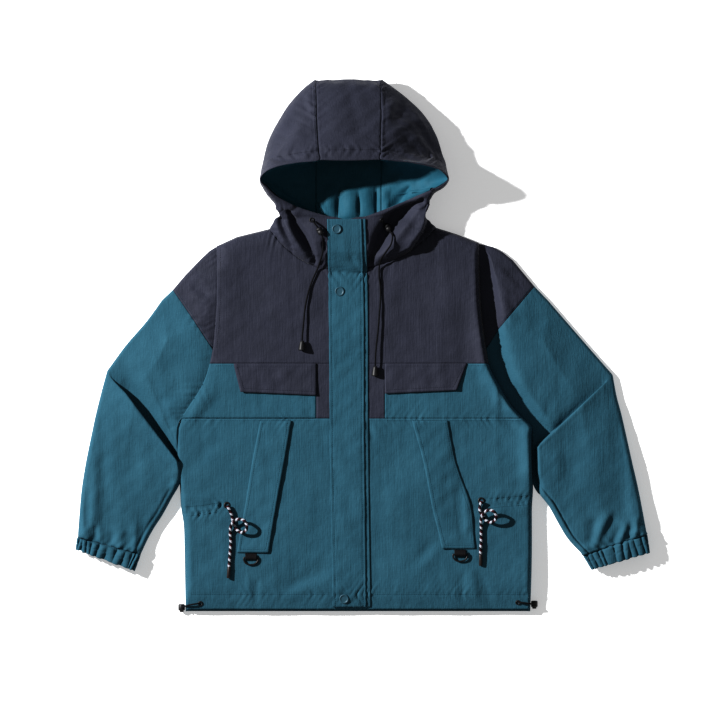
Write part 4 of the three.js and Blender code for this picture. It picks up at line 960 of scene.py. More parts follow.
def hood_control(side):
    u = spread(120, HOOD_FINE)
    t = lerp(u, np.sin(u * QUARTER), 0.6)
    share = spread(105, 5)[1:]
    crowns = np.interp(np.arange(len(HOOD_ROWS[side])), (0, 5, 8, 14),
                       (*CROWN[side][:2], 2.2, CROWN[side][2]))
    rows = []
    ex = HOOD_SEAM_X[side]
    for row, (ey, ez, puff), power in zip(HOOD_ROWS[side], HOOD_SEAM, crowns):
        sx, sy, sz, ox, oy, oz, by = row
        bend = 4 * t * (1 - t)
        crown = (1 - t**power) ** (1 / power)
        top = np.stack([lerp(sx, ox, t), lerp(sy, oy, t) + by * bend,
                        lerp(oz, sz, crown) + puff * bend], -1)
        rows.append(np.concatenate([top, hood_under((ox, oy, oz, ex, ey, ez), share)]))
    neck = NECKLINE[side][2]
    xy = neckline(side, t)
    top = np.column_stack([xy, front_base(xy[:, 0], xy[:, 1])])
    under = hood_under((neck[0], neck[1], SIDE_Z, ex, BACK_NECK_Y, 0), share)
    rows.append(np.concatenate([top, under]))
    return np.array(rows), len(t)


def hood_relief(p):
    """Folds, band and puckers of the hood, as a height along its normals."""
    x, y = p[..., 0], p[..., 1]
    total = creases(x, y, HOOD_CREASES) + 1.0 * soft_sag(x, y) + 0.6 * crumple(x, y)
    total += 0.28 * fine_crumple(x * 0.55, y * 1.2)
    for points, half, depth in NECK_WEDGES:
        total += fold_line(x, y, points, half, depth, 3.0)
    face_gap = np.full(x.shape, 99.0)
    for k, s in enumerate(SIDES):
        d, along = to_line(x, y, HOOD_ROWS[s][BRIM_ROW:TIP_ROW + 4, :2])
        face_gap = np.minimum(face_gap, d)
        total -= 0.9 * peak(d, 1.6, BRIM_BAND)
        total += puckers(np.abs(d - BRIM_BAND), along, 7, 1.1, 91 * k)
        d, along = to_line(x, y, HOOD_ROWS[s][:BRIM_ROW + 1, :2])
        total -= 0.8 * peak(d, 1.7) + 0.6 * peak(d, 1.4, 7)
        total += puckers(d, along, 13, 1.3, 53 * k)
        d, along = to_line(x, y, neckline(s, np.linspace(0, 1, 16)))
        total += puckers(d, along, 14, 1.5, 17 * k)
    brim = np.array([HOOD_ROWS["left"][BRIM_ROW, :2], HOOD_ROWS["right"][BRIM_ROW, :2]])
    d, along = to_line(x, y, brim)
    total -= 1.3 * peak(d, 1.6, BRIM_BAND)
    total += puckers(np.abs(d - BRIM_BAND), along, 7, 1.6)
    rim = np.minimum(to_line(x, y, HOOD_ROWS["left"][:TIP_ROW, 3:5])[0],
                     to_line(x, y, HOOD_ROWS["right"][:TIP_ROW, 3:5])[0])
    return total * clamp(np.minimum(face_gap, d) / 7) * clamp(0.1 + rim / 12)


def raised(p, height):
    return p + grid_normals(p) * height[..., None]


def neck_roll(grid, tops):
    """Keeps the right of the neck high up to where it rolls over and drops to the yoke."""
    top = grid[:, :tops]
    x, y, z = top[..., 0], top[..., 1], top[..., 2]
    d, _ = to_line(x, y, NECK_ROLL)
    rows = np.array(NECK_ROLL)[::-1]
    beyond = x > np.interp(y, rows[:, 1], rows[:, 0])
    high = np.interp(y, *NECK_ROLL_Z)
    inside = z + (np.maximum(high, z) - z) * peak(d, 20)
    drop = clamp(d / 5.5)
    outside = lerp(high, np.minimum(z, 23.5), ease(drop))
    held = clamp((745 - y) / 14)
    shaped = grid.copy()
    shaped[:, :tops, 2] = lerp(z, np.where(beyond, outside, inside), held)
    return shaped


def seat_neck(shaped, grid, tops, side):
    """Brings the lower edge of the hood's front down onto the yoke's neckline."""
    front = slice(-tops, None) if side == "right" else slice(0, tops)
    x, y = grid[-1, front, 0], grid[-1, front, 1]
    off = np.stack([x, y, front_z(x, y)], -1) - shaped[-1, front]
    for k, share in enumerate((1, 0.75, 0.45, 0.2, 0.06), 1):
        shaped[-k, front] += off * share
    out = grid[-1, front] - grid[-2, front]
    out /= np.maximum(np.linalg.norm(out[:, :2], axis=1), 0.1)[:, None]
    shaped[-1, front, :2] += 2.5 * out[:, :2]
    shaped[-1, front, 2] -= 2.2
    return shaped


def even(line, count):
    """A line's points spaced evenly along it."""
    run = travelled(line)
    at = np.linspace(0, run[-1], count)
    return np.column_stack([np.interp(at, run, line[:, a]) for a in range(line.shape[1])])


def make_hood():
    sides = {}
    for side in SIDES:
        control, tops = hood_control(side)
        grid, stops = through_rows(control, HOOD_FINE)
        if side == "right":
            grid = neck_roll(grid, tops)[:, ::-1]
        shaped = raised(grid, hood_relief(grid) * clamp((grid[..., 2] - 6) / 12))
        shaped = dip(shaped, ["start" if side == "right" else "end"], depth=0.7)
        shaped = seat_neck(shaped, grid, tops, side)
        sides[side] = (grid, stops)
        panel(f"hood_side_{side}", shaped, NAVY, -HOOD_CLOTH, 0, rests_on=["shell_back_yoke"])
        make_side_lining(side, shaped, stops)
    left, stops = sides["left"]
    right, right_stops = sides["right"]
    halves = []
    for count, first in ((64, True), (70, False)):
        lines = []
        for grid, marks, start, end in ((left, stops, 0, -1), (right, right_stops, -1, 0)):
            if first:
                line = grid[:marks[BRIM_ROW] + 1, start][::-1]
            else:
                line = grid[:, end]
            lines.append(even(line, count))
        halves.append(lines)
    t = spread(110, FINE)[None, :, None]
    bulge = (8 * t * (1 - t))[..., 0]
    crown = []
    for (a, b), over in zip(halves, (True, False)):
        rows = lerp(a[:, None], b[:, None], t)
        if over:
            rows[..., 2] += bulge * 1.6
            rows[..., 1] -= bulge * np.exp(-np.arange(len(a)) / 6.0)[:, None]
        crown.append(rows)
    crown = np.concatenate(crown)
    shaped = raised(crown, hood_relief(crown) * clamp((crown[..., 2] - 6) / 12))
    shaped = dip(shaped, ["start", "end"], depth=0.7)
    panel("hood_centre", shaped, NAVY, -HOOD_CLOTH, 0)
    inner = shaped[3:-2]
    lining = settle_lining(inner - grid_normals(inner) * LINING_IN)
    panel("lining_centre", lining, LINING, -0.9, 0, rests_on=["shell_hood_centre"])


def settle_lining(p):
    """Lifts the lining off the floor in folds where the back of the neck gathers it."""
    x, y, z = p[..., 0], p[..., 1], p[..., 2]
    floor = clamp((26 - z) / 16)
    lift = np.maximum(creases(x, y, LINING_FOLDS), 0) + 1.0 + 0.7 * crumple(x, y)
    for line in LINING_GROOVES:
        lift = lift + fold_line(x, y, line, 2.6, -6.5)
    q = p.copy()
    q[..., 2] = np.maximum(z + floor * lift, np.minimum(z, 1.6))
    return q


def make_side_lining(side, shell, stops):
    """Lines a side: under the roof it follows the shell, and below the brim it hangs from the
    face edge down to the floor like the side of a bowl."""
    inner = shell[stops[2]:stops[-1] - 3]
    near = inner - grid_normals(inner) * LINING_IN
    near = near[:, :-1] if side == "right" else near[:, 1:]
    columns = near.shape[1]
    right = side == "right"
    edge = near[:, -1:] if right else near[:, :1]
    seam = near[:, :1] if right else near[:, -1:]
    share = np.linspace(0, 1, columns)[None, :, None]
    share = 1 - share if right else share
    edge_in = edge + np.array([-OUT[side] * 2.0, 0, -2.0])
    bowl = lerp(edge_in, seam, share)
    deep = clamp(share[..., 0])
    bowl[..., 2] = lerp(edge_in[..., 2], np.maximum(seam[..., 2], 3), deep ** (0.45 if right else 0.4))
    hang = np.zeros(len(near))
    first = stops[BRIM_ROW] - stops[2]
    hang[first:] = 1
    hang[first - 8:first] = np.linspace(0, 1, 8)
    p = lerp(near, bowl, hang[:, None, None])
    x, y = p[..., 0], p[..., 1]
    height = 1.1 * crumple(x * 1.2, y * 1.2) + creases(x, y, BOWL_CREASES)
    if right:
        height += fold_line(x, y, ((58, 708), (74, 728), (92, 748)), 9, -11.0)
    n = grid_normals(p)
    p = p - n * (height * hang[:, None] * np.sin(deep * math.pi))[..., None]
    p = settle_lining(p)
    panel(f"lining_{side}", p, LINING, -0.9, 0, rests_on=[f"shell_hood_side_{side}"])


BOWL_CREASES = (
    (150, 760, 100, 745, 7, 0.8, 0.3), (-150, 752, -105, 720, 6, 3.5, 0.3),
    (-158, 765, -140, 742, 5, 3.0, 0.3),
)


# ------------------------------------------------------------------ sleeves
# Rows of a sleeve: inner edge x, y, outer edge x, y, height. Row CREST is the elbow's crest.
SLEEVE_ROWS = {
    "left": np.array([
        (-315, 322, -343, 550, 22), (-315.6, 300, -370, 513, 22), (-315.6, 282, -407, 470, 21),
        (-312.6, 262, -440, 425, 24), (-310.4, 243, -449, 392, 24), (-311.6, 226, -459, 352, 23),
        (-326, 200, -468, 310, 22), (-343, 169, -478, 260, 21), (-358, 146, -485, 215, 20),
        (-370, 124, -489, 170, 21), (-381, 100, -492, 130, 22)], float),
    "right": np.array([
        (314, 315, 340, 549, 22), (314, 305, 372, 512, 22), (314, 294, 411, 467, 21),
        (311, 283, 454, 418, 23), (310.5, 262, 461, 380, 23), (311, 240, 469, 350, 23),
        (316, 220, 477, 315, 22), (341, 186, 488, 265, 21), (359, 154, 499, 217, 20),
        (375, 128, 507, 176, 21), (401, 100, 514, 137, 22)], float)}
CREST = 3
# The underarm, then the seam between the navy cap and the teal length.
UNDERARM = {"left": (-314, 335), "right": (314, 326)}
CAP_SEAM = {
    "left": np.array([(-253.8, 464), (-288, 516), (-324, 568)], float),
    "right": np.array([(230.8, 464), (253, 500), (316, 574)], float)}
SHOULDER_LINE = {"left": ((-259, 637), (-274, 623), (-302, 594)),
                 "right": ((243, 644), (258, 636), (277, 621))}
# The fold at the crest: how far towards the forearm, and how high.
CREST_FOLD = {
    "left": np.array([(-44, 20), (-30, 15), (-19, 9), (-10, 5.5), (-3, 4.5), (4, 4.5), (9, 6), (10, 10),
                      (7, 15), (3, 20), (-0.5, 24), (-2, 27.5), (-0.5, 30), (4, 30.5), (11, 29),
                      (22, 26.5), (34, 24.5)], float),
    "right": np.array([(-36, 21), (-24, 20), (-14, 18.5), (-7, 16.5), (-3, 14.5), (0, 13.5),
                       (2.5, 13.8),
                       (3.2, 16), (1.8, 18.5), (0.4, 21), (0.6, 23), (2.6, 24.6), (7, 24.8), (14, 24),
                       (24, 23.5)], float)}
SLEEVE_CREASES = {
    "left": (
        (-290, 440, -390, 400, 18, -1.6, 0.4), (-300, 400, -350, 360, 12, -2.2, 0.5),
        (-390, 480, -330, 420, 20, 1.6, 0.2), (-350, 540, -300, 470, 20, -1.6, 0.3),
        (-262, 560, -290, 572, 6, -2.4, 0.2), (-260, 545, -292, 556, 6, 2.0, 0.2),
        (-262, 580, -292, 592, 6, 2.0, 0.2), (-275, 600, -300, 590, 6, -1.8, 0.2),
        (-344, 340, -335, 318, 6, 2.4, 0.4), (-330, 345, -320, 322, 6, -2.2, 0.4),
        (-459, 152, -458, 114, 5, -5.0, 0.3), (-488, 168, -487, 126, 5, -4.5, 0.3),
        (-394, 138, -400, 104, 6, -4.0, 0.3), (-428, 140, -432, 110, 6, -3.2, 0.3),
        (-474, 150, -473, 122, 6, 3.0, 0.3), (-412, 146, -417, 108, 7, 3.0, 0.3),
        (-457, 290, -457, 140, 9, 3.4, 0.5), (-470, 215, -474, 140, 6, -2.4, 0.4),
        (-440, 380, -415, 250, 18, 2.0, 0.3), (-400, 300, -380, 190, 20, -2.0, 0.4),
        (-365, 260, -400, 150, 16, 1.8, 0.3), (-425, 200, -435, 125, 12, -1.6, 0.3),
        (-385, 165, -398, 106, 7, 2.6, 0.3), (-372, 150, -386, 108, 5, -2.4, 0.3),
        (-330, 218, -318, 232, 6, 2.4, 0.4)),
    "right": (
        (275, 500, 330, 420, 22, 1.6, 0.2), (400, 470, 350, 400, 20, -1.4, 0.3),
        (345, 540, 300, 470, 20, -1.4, 0.3), (250, 612, 290, 570, 6, 2.6, 0.4),
        (246, 590, 262, 540, 7, -2.6, 0.4), (262, 600, 300, 600, 6, -2.2, 0.3),
        (256, 560, 280, 520, 6, 2.4, 0.4), (262, 480, 268, 440, 6, 2.4, 0.4),
        (278, 500, 292, 520, 5, -1.8, 0.3), (455, 370, 435, 250, 18, 1.8, 0.3),
        (400, 330, 385, 220, 18, -2.4, 0.4), (360, 290, 350, 200, 14, 1.6, 0.3),
        (425, 240, 440, 160, 14, 1.8, 0.3), (470, 260, 480, 150, 12, -2.2, 0.4),
        (452, 175, 420, 112, 7, 5.0, 0.45), (425, 165, 416, 112, 8, -4.5, 0.3),
        (482, 160, 466, 118, 6, 4.5, 0.4), (470, 150, 452, 112, 6, -4.0, 0.3),
        (500, 170, 494, 128, 6, 3.8, 0.4), (492, 150, 480, 124, 5, -3.6, 0.3),
        (512, 165, 508, 138, 5, -3.0, 0.4))}
# Where the right sleeve climbs out of the low valley beside the body.
VALLEY_EDGE = np.array([(217, 656), (233, 630), (243, 573), (250, 506), (253, 486), (261, 446),
                        (277, 405), (298, 372), (322, 338), (349, 308)], float)
VALLEY_Z = 3.0
CUFF = {"left": ((-381, 100, -492, 130), (-392, 72, -495, 110)),
        "right": ((401, 100, 514, 137), (417, 74, 519, 104))}
UPPER_EDGE_Z = 4.5
TUCK_IN = {"left": 2.2, "right": 4.0}  # how far the sleeve runs in under the body
TOP_MIN_Z = 2.6
UNDERARM_STRIP = 11.0  # the underarm seam shows this far inside the forearm's inner edge


class Polyline:
    """A plan line by its length."""

    def __init__(self, points):
        self.points = np.asarray(points, float)
        self.run = travelled(self.points)
        self.length = self.run[-1]

    def at(self, t):
        s = np.asarray(t) * self.length
        return np.stack([np.interp(s, self.run, self.points[:, k]) for k in (0, 1)], -1)


def armhole_height(side, x, y, loft):
    """Height of the sleeve beside the armhole: a soft seam left, a low valley right."""
    d, _ = to_line(x, y, armhole_line(side))
    if side == "left":
        return rise(d, ARMHOLE_REACH, armhole_z(side, y), loft, 0)
    rows = VALLEY_EDGE[::-1]
    valley_x = np.interp(y, rows[:, 1], rows[:, 0])
    slope = np.interp(y, (314, 352, 400, 460, 620), (0.7, 0.72, 0.85, 0.98, 0.95))
    beyond = (x - valley_x) * slope
    low = lerp(VALLEY_Z, SIDE_Z, clamp((y - 615) / 36))
    climb = clamp(beyond / 16)
    high = lerp(low, loft, climb * (2 - climb))
    start = lerp(armhole_z(side, y), low, clamp(d / 8))
    return np.maximum(np.minimum(start, loft), high)


def sleeve_relief(side, x, y):
    total = creases(x, y, SLEEVE_CREASES[side])
    total += cloth_hand(x, y, 1.0, 0.35, 0.12, 0.08)
    d, along = to_line(x, y, CAP_SEAM[side])
    total += puckers(d, along, 16, 1.4) - 0.7 * peak(d, 1.8)
    total = at_armhole(x, y, total)
    top = CUFF[side][0]
    d, along = to_line(x, y, ((top[0], top[1]), (top[2], top[3])))
    total += 2.2 * seam_ripple(along * 0.7 + 70 + 0.4 * d) * np.exp(-((d / 11) ** 1.3))
    total += 3.4 * peak(d, 8, 9) * (0.7 + 0.6 * np.sin(along / 17.0 + 1))
    return total


def strip_relief(side, inner, along_sleeve):
    """The underarm strip: a seam line, and the cloth inside it a little off the rest."""
    seen = clamp((along_sleeve - 66) / 26)
    line = -2.0 * peak(inner, 2.0, UNDERARM_STRIP)
    return seen * (line + OUT[side] * 1.8 * clamp((UNDERARM_STRIP - inner) / 2))


def upper_share(w):
    """1 on the upper sleeve, whose outer edge lies pressed flat, falling to 0 down the forearm."""
    return clamp((150 - w) / 170)


def outer_low(w):
    return lerp(SIDE_Z, UPPER_EDGE_Z, upper_share(w))


def sleeve_z(side, x, y, loft, inner, outer, beyond=None):
    w = np.full(np.shape(x), -100.0) if beyond is None else beyond
    pressed = lerp(UPPER_EDGE_Z, loft, clamp(outer / 85)) + 2.5 * clamp(outer / 4)
    z = lerp(rise(outer, EDGE_ROLL, SIDE_Z, loft, 1), np.minimum(pressed, loft), upper_share(w))
    if inner is not None:
        z = np.minimum(z, rise(inner, EDGE_ROLL, side_z(side, y), loft, 1))
    low = armhole_height(side, x, y, loft)
    if beyond is not None and side == "right":
        low = lerp(low, loft, clamp((beyond + 1) / 3))
    z = np.minimum(z, low)
    return z + sleeve_relief(side, x, y) * clamp((z - SIDE_Z + 6) / 12)


def along_rows(side, w_rows, w, column):
    """One column of the sleeve's table at distances from the crest, with a corner there."""
    rows = SLEEVE_ROWS[side][:, column]
    upper = smooth(w_rows[:CREST + 1], rows[:CREST + 1])(w)
    lower = smooth(w_rows[CREST:], rows[CREST:])(w)
    return np.where(w < 0, upper, lower)


def make_sleeve(side):
    flip = side == "right"
    rows = SLEEVE_ROWS[side]
    u = spread(230, FINE)
    top_t = lerp(u, (1 - np.cos(math.pi * u)) / 2, 0.6)
    u = spread(230, COARSE)
    under_t = lerp(u, (1 - np.cos(math.pi * u)) / 2, 0.7)[::-1][1:-1]
    t = np.concatenate([top_t, under_t])
    is_top = np.arange(len(t)) < len(top_t)
    edge = BODY_EDGE[(BODY_EDGE[:, 0] > UNDERARM[side][1]) & (BODY_EDGE[:, 0] < CAP_SEAM[side][0, 1])]
    armhole = edge[:, [EDGE_COLUMN[side], 0]]
    seam = Polyline(np.concatenate([[UNDERARM[side]], armhole, CAP_SEAM[side]]))
    middle = (rows[:, :2] + rows[:, 2:4]) / 2
    run = travelled(middle)
    w_rows = run - run[CREST]
    seam_w = w_rows[0] - 42.0
    fade = clamp((1.004 - t) / 0.26) ** 0.5 * is_top
    if side == "right":
        fade = clamp((0.995 - t) / 0.12) * is_top
    fold = CREST_FOLD[side]
    dense = np.linspace(0, len(fold) - 1, 3 * len(fold))
    offsets = smooth(np.arange(len(fold)), fold[:, 0])(dense)
    heights = smooth(np.arange(len(fold)), fold[:, 1])(dense)
    above = np.linspace(seam_w, fold[0, 0], int((fold[0, 0] - seam_w) / FINE))[:-1]
    below = np.linspace(fold[-1, 0], w_rows[-1], int((w_rows[-1] - fold[-1, 0]) / FINE))[1:]
    level = np.linspace(fold[0, 0], fold[-1, 0], len(dense))
    folded = lerp(level[:, None], offsets[:, None], fade[None])
    w = np.concatenate([np.repeat(above[:, None], len(t), 1), folded,
                        np.repeat(below[:, None], len(t), 1)])
    in_xy = np.stack([along_rows(side, w_rows, w, 0), along_rows(side, w_rows, w, 1)], -1)
    out_xy = np.stack([along_rows(side, w_rows, w, 2), along_rows(side, w_rows, w, 3)], -1)
    plan = lerp(in_xy, out_xy, t[None, :, None])
    blend = ease(clamp((w_rows[0] - w) / (w_rows[0] - seam_w)))[..., None]
    plan = lerp(plan, seam.at(t)[None], blend)
    width = lerp(np.linalg.norm(out_xy - in_xy, axis=-1), seam.length, blend[..., 0])
    loft = along_rows(side, w_rows, w, 4)
    first, last = len(above), len(above) + len(dense)
    loft[first:last] = lerp(loft[first:last], heights[:, None], fade[None])
    ramp = np.linspace(0, 1, 8)[:, None] * fade[None]
    loft[first - 8:first] = lerp(loft[first - 8:first], heights[0], ramp)
    loft[last:last + 8] = lerp(loft[last:last + 8], heights[-1], ramp[::-1])
    x, y = plan[..., 0], plan[..., 1]
    inner, outer = t * width, (1 - t) * width
    shelf = inner
    if side == "right":
        shelf = inner - np.interp(y, (206, 222, 232, 284), (0, 8, 10, 10)) * (w > -1)
    top = sleeve_z(side, x, y, loft, np.maximum(shelf, 0), outer, w)
    top = top + strip_relief(side, inner, w)
    if side == "right":
        top = np.where((shelf < 0) & (w > -1), VALLEY_Z, top)
    edge_z = np.where(t > 0.5, outer_low(w), side_z(side, y))
    under = edge_z - rise(np.minimum(inner, outer), BACK_ROLL, 0, edge_z, 1)
    z = np.where(is_top, np.maximum(top, TOP_MIN_Z), under)
    grid = np.stack([x, y, z], -1)
    beside = clamp((y[:, :1] - 224) / 8) * np.array([1.0, 0.5])
    grid[:, :2, 0] -= OUT[side] * TUCK_IN[side] * beside
    grid[:, :2, 2] -= (1.4 if side == "right" else 0.5) * beside
    on_body = clamp((CAP_SEAM[side][0, 1] + 3 - y[0]) / 5)
    for k, share in ((0, 1.0), (1, 0.5)):
        grid[k, :, 0] -= OUT[side] * TUCK_IN[side] * on_body * share
        grid[k, :, 2] -= (1.2 if side == "right" else 0.5) * on_body * share
    grid[..., 2] = np.maximum(grid[..., 2], 0)
    grid = dip(grid, ["last"], depth=1.6, ring=True)
    panel(f"sleeve_{side}", grid, TEAL, ring=True, flip=flip)
    make_cap(side, flip)
    make_cuff(side, flip)


def make_cap(side, flip):
    cap, shoulder = CAP_SEAM[side], SHOULDER[side][0]
    outline = Polyline([(shoulder[0] + OUT[side] * 0.8, shoulder[1] - 1), *SHOULDER_LINE[side],
                        cap[-1]])
    seam = Polyline(cap)
    v = spread(shoulder[1] - cap[0, 1], FINE)[:, None]
    u = spread(110, FINE)
    t = lerp(u, np.sin(u * QUARTER), 0.6)
    under_t = np.array([0.985, 0.95, 0.88, 0.75, 0.6, 0.4, 0.2, 0])
    both = np.concatenate([t, under_t])[None]
    ys = lerp(shoulder[1] - 2, cap[0, 1], v)
    start = np.stack([EDGE[side](ys), ys], -1)
    end = outline.at(v)
    plan = lerp(start, end, both[..., None])
    last = lerp(cap[0], cap[-1], both[..., None])
    plan = plan + (seam.at(both) - last) * (v**3)[..., None]
    x, y = plan[..., 0], plan[..., 1]
    outer = (1 - both) * np.linalg.norm(end - start, axis=-1)
    outline_d, _ = to_line(x, y, outline.points)
    top = sleeve_z(side, x, y, np.full(x.shape, LOFT), None, np.minimum(outline_d, outer + 3))
    under = UPPER_EDGE_Z - rise(outer, BACK_ROLL, 0, UPPER_EDGE_Z, 1)
    z = np.where(np.arange(both.shape[1]) < len(t), np.maximum(top, TOP_MIN_Z), under)
    grid = np.stack([x, y, z], -1)
    tucked = np.where(np.arange(both.shape[1]) < len(t), -1.4, 1.0)
    down = np.array([OUT[side] * 1.4, -1.4])
    for k, share in ((1, 1.0), (2, 0.4)):
        grid[-k, :, :2] += down * share
        grid[-k, :, 2] += tucked * share
    for k, share in ((0, 1.0), (1, 0.4)):
        grid[:, k] += np.array([-OUT[side] * 3.0, 0, -1.2]) * share
    grid[..., 2] = np.maximum(grid[..., 2], 0)
    panel(f"sleeve_cap_{side}", grid, NAVY, flip=flip)


CUFF_H = 25.0
GATHERS = 26
GATHER = 6.5  # height of a gather


def make_cuff(side, flip):
    """Elastic in a casing: uneven gathers that run from seam to hem, pinched by a stitch line."""
    first, last = (np.array(row, float) for row in CUFF[side])
    columns = 420
    angle = np.arange(columns) / columns * TURN
    rng = np.random.default_rng(41 if side == "left" else 43)
    widths = rng.uniform(0.4, 1.9, GATHERS)
    stops = np.concatenate([[0], np.cumsum(widths)]) / widths.sum() * TURN
    tall = rng.uniform(0.4, 1.25, GATHERS)
    lean = rng.uniform(-0.16, 0.16, GATHERS)
    v = spread(30, 1.4)[:, None]
    which = np.clip(np.searchsorted(stops, angle, side="right") - 1, 0, GATHERS - 1)
    shifted = angle[None] + lean[which][None] * (v - 0.5)
    place_in = clamp((shifted - stops[which]) / (stops[which + 1] - stops[which]))
    gather = (np.sin(math.pi * place_in) ** 0.55 - 0.66) * tall[which]
    c, s = np.cos(angle), np.sin(angle)
    puff = np.sin(np.pi * clamp(0.06 + v * 0.88)) ** 0.5
    tucked = 1 - clamp(v / 0.1)  # the seam end lies inside the sleeve's end
    row = first + (last - first) * (v - 0.12 * tucked)[..., None]
    across = 0.5 - 0.5 * np.sign(c) * np.abs(c) ** 0.8
    up = np.sign(s) * np.abs(s) ** 0.55
    z = (CUFF_H + 1.5 * puff - 9 * tucked) / 2 * (1 + up)
    pinch = 1 - 0.5 * peak(v, 0.06, 0.5)
    swing = GATHER * gather * (0.4 + 0.6 * puff) * pinch * (1 - tucked)
    z = z + swing * (s > -0.2) * clamp(np.abs(s) * 2.5)
    outward = np.sign(c) * np.abs(c) ** 3
    x = lerp(row[..., 0], row[..., 2], across) - OUT[side] * outward * swing * 0.5
    y = lerp(row[..., 1], row[..., 3], across)
    y = y - 2.6 * np.maximum(gather, -0.3) * clamp((v - 0.55) / 0.45)
    grid = np.stack([x, y, z], -1)
    grid[..., 2] -= grid[..., 2].min()
    panel(f"cuff_{side}", grid, TEAL, -TRIM_CLOTH, 0, ring=True, flip=flip, held="gathered")


# ------------------------------------------------------------------ hardware and cords
WAIST_CORD_R, HOOD_CORD_R, WIRE_R = 2.75, 1.4, 1.5
LOCK_ALONG, LOCK_LENGTH, BELL_LENGTH, TIP_LENGTH = 25.0, 13.0, 18.0, 20.0
# A cord's row is its place and how far its underside is off the cloth.
WAIST_CORD = {
    "left": ((-227, 187, 3.4), (-223, 179, 3), (-219, 169, 1.5), (-217, 158, 0.8), (-212, 147, 2),
             (-203, 140, 7), (-194, 144, 13), (-193, 155, 16), (-201, 163, 14), (-212, 162, 10),
             (-220, 153, 6), (-222, 140, 2), (-221, 124, 0.8), (-222, 108, 0.8), (-223, 93, 0.8),
             (-224, 79, 0.8)),
    "right": ((222, 195, 3.4), (219, 187, 3), (219, 178, 1.5), (224, 169, 0.8), (231, 160, 3),
              (240, 158, 8), (247, 165, 13), (245, 175, 16), (236, 180, 14), (226, 175, 10),
              (221, 164, 5), (221, 150, 1.5), (221, 136, 0.8), (221, 122, 0.8), (220, 110, 0.8),
              (220, 101, 0.8))}
HOOD_CORD = {
    "left": ((-77, 690, 2.9), (-72, 684, 5), (-67, 677.5, 6.5), (-62.5, 670, 7), (-59, 661, 7),
             (-58, 648, 5), (-59, 633, 4), (-63, 619, 3.5), (-68, 605, 2.5), (-74, 592, 2),
             (-80, 577, 1.5), (-86, 556, 2), (-90, 535, 3), (-92, 516, 4), (-93.5, 500, 5),
             (-94.5, 489, 5.4), (-95, 479, 5.6)),
    "right": ((46, 690, 2.9), (51.5, 683.5, 5), (57, 677, 6.5), (61.5, 669.5, 7), (64.5, 661, 7),
              (62, 649, 5), (53, 635, 3.5), (44, 621, 2.5), (41, 607, 2.5), (41, 592, 2),
              (43, 572, 1.5), (43, 548, 2), (41, 522, 3), (39, 496, 4), (36, 470, 5),
              (34.5, 452, 5.4), (34, 434, 5.6))}
# From the hem eyelet over the edge to the stopper beside it: places and heights from z = 0.
HEM_CORD = {
    "left": ((-276, 14.3, 18), (-279, 14, 21.5), (-286, 13, 22.5), (-294, 11.5, 21), (-301, 9.5, 18),
             (-306.5, 7.5, 12.5), (-308.5, 6, 8)),
    "right": ((287, 16, 18), (290, 16, 21.8), (296, 15.5, 22.5), (303, 14.5, 21), (309.5, 13.3, 18),
              (314, 12, 12.5), (315.5, 11.5, 8))}
HEM_LOCK = {"left": (-308.5, 5.5), "right": (315.5, 11.5)}
HEM_LOCK_R, HEM_LOCK_LENGTH = 5.8, 14.0


# Half sections of the turned pieces: distance from the axis, place along it.
SNAP_SECTION = ((0, 0), (8.2, 0), (8.5, 0.7), (8.4, 1.7), (7.8, 2.3), (7.0, 2.45), (6.2, 2.2),
                (5.8, 1.75), (4.5, 1.6), (0, 1.7))
TIP_SECTION = ((0, 0), (2.9, 0.1), (3.1, 0.8), (3.1, TIP_LENGTH - 1.2), (2.5, TIP_LENGTH),
               (0, TIP_LENGTH + 0.1))
_bore, _half = HOOD_CORD_R + 0.4, LOCK_LENGTH / 2
LOCK_SECTION = ((_bore, -_half), (4.4, -_half), (5.2, -_half + 1.2), (5.5, -2.6), (4.9, -1.9),
                (4.9, -1.1), (5.6, -0.5), (5.6, _half - 2.6), (4.8, _half - 0.8), (4.0, _half),
                (_bore, _half), (_bore, -_half))
BELL_SECTION = ((0, 0.6), (2.6, 0.7), (3.5, 1.6), (4.0, 4), (4.9, 9), (6.0, BELL_LENGTH - 2.4),
                (6.2, BELL_LENGTH - 1.2), (5.6, BELL_LENGTH), (4.6, BELL_LENGTH),
                (4.2, BELL_LENGTH - 1.6), (0, BELL_LENGTH - 1.8))
_half = HEM_LOCK_LENGTH / 2
STOPPER_SECTION = ((0, -_half), (3.2, -_half), (3.6, -_half + 0.6), (3.6, 2.8 - _half),
                   (5.2, 3.2 - _half), (HEM_LOCK_R, 4.2 - _half), (HEM_LOCK_R, _half - 1.4),
                   (4.8, _half - 0.2), (4.0, _half), (0, _half))
UNDER_CORDS = ("shell_front", "shell_placket", "shell_pocket", "shell_chest", "shell_hood",
               "shell_back")


def turn_to(axis):
    """Rotation matrix that takes +z to an axis."""
    return np.array(Vector((0, 0, 1)).rotation_difference(Vector(axis)).to_matrix())


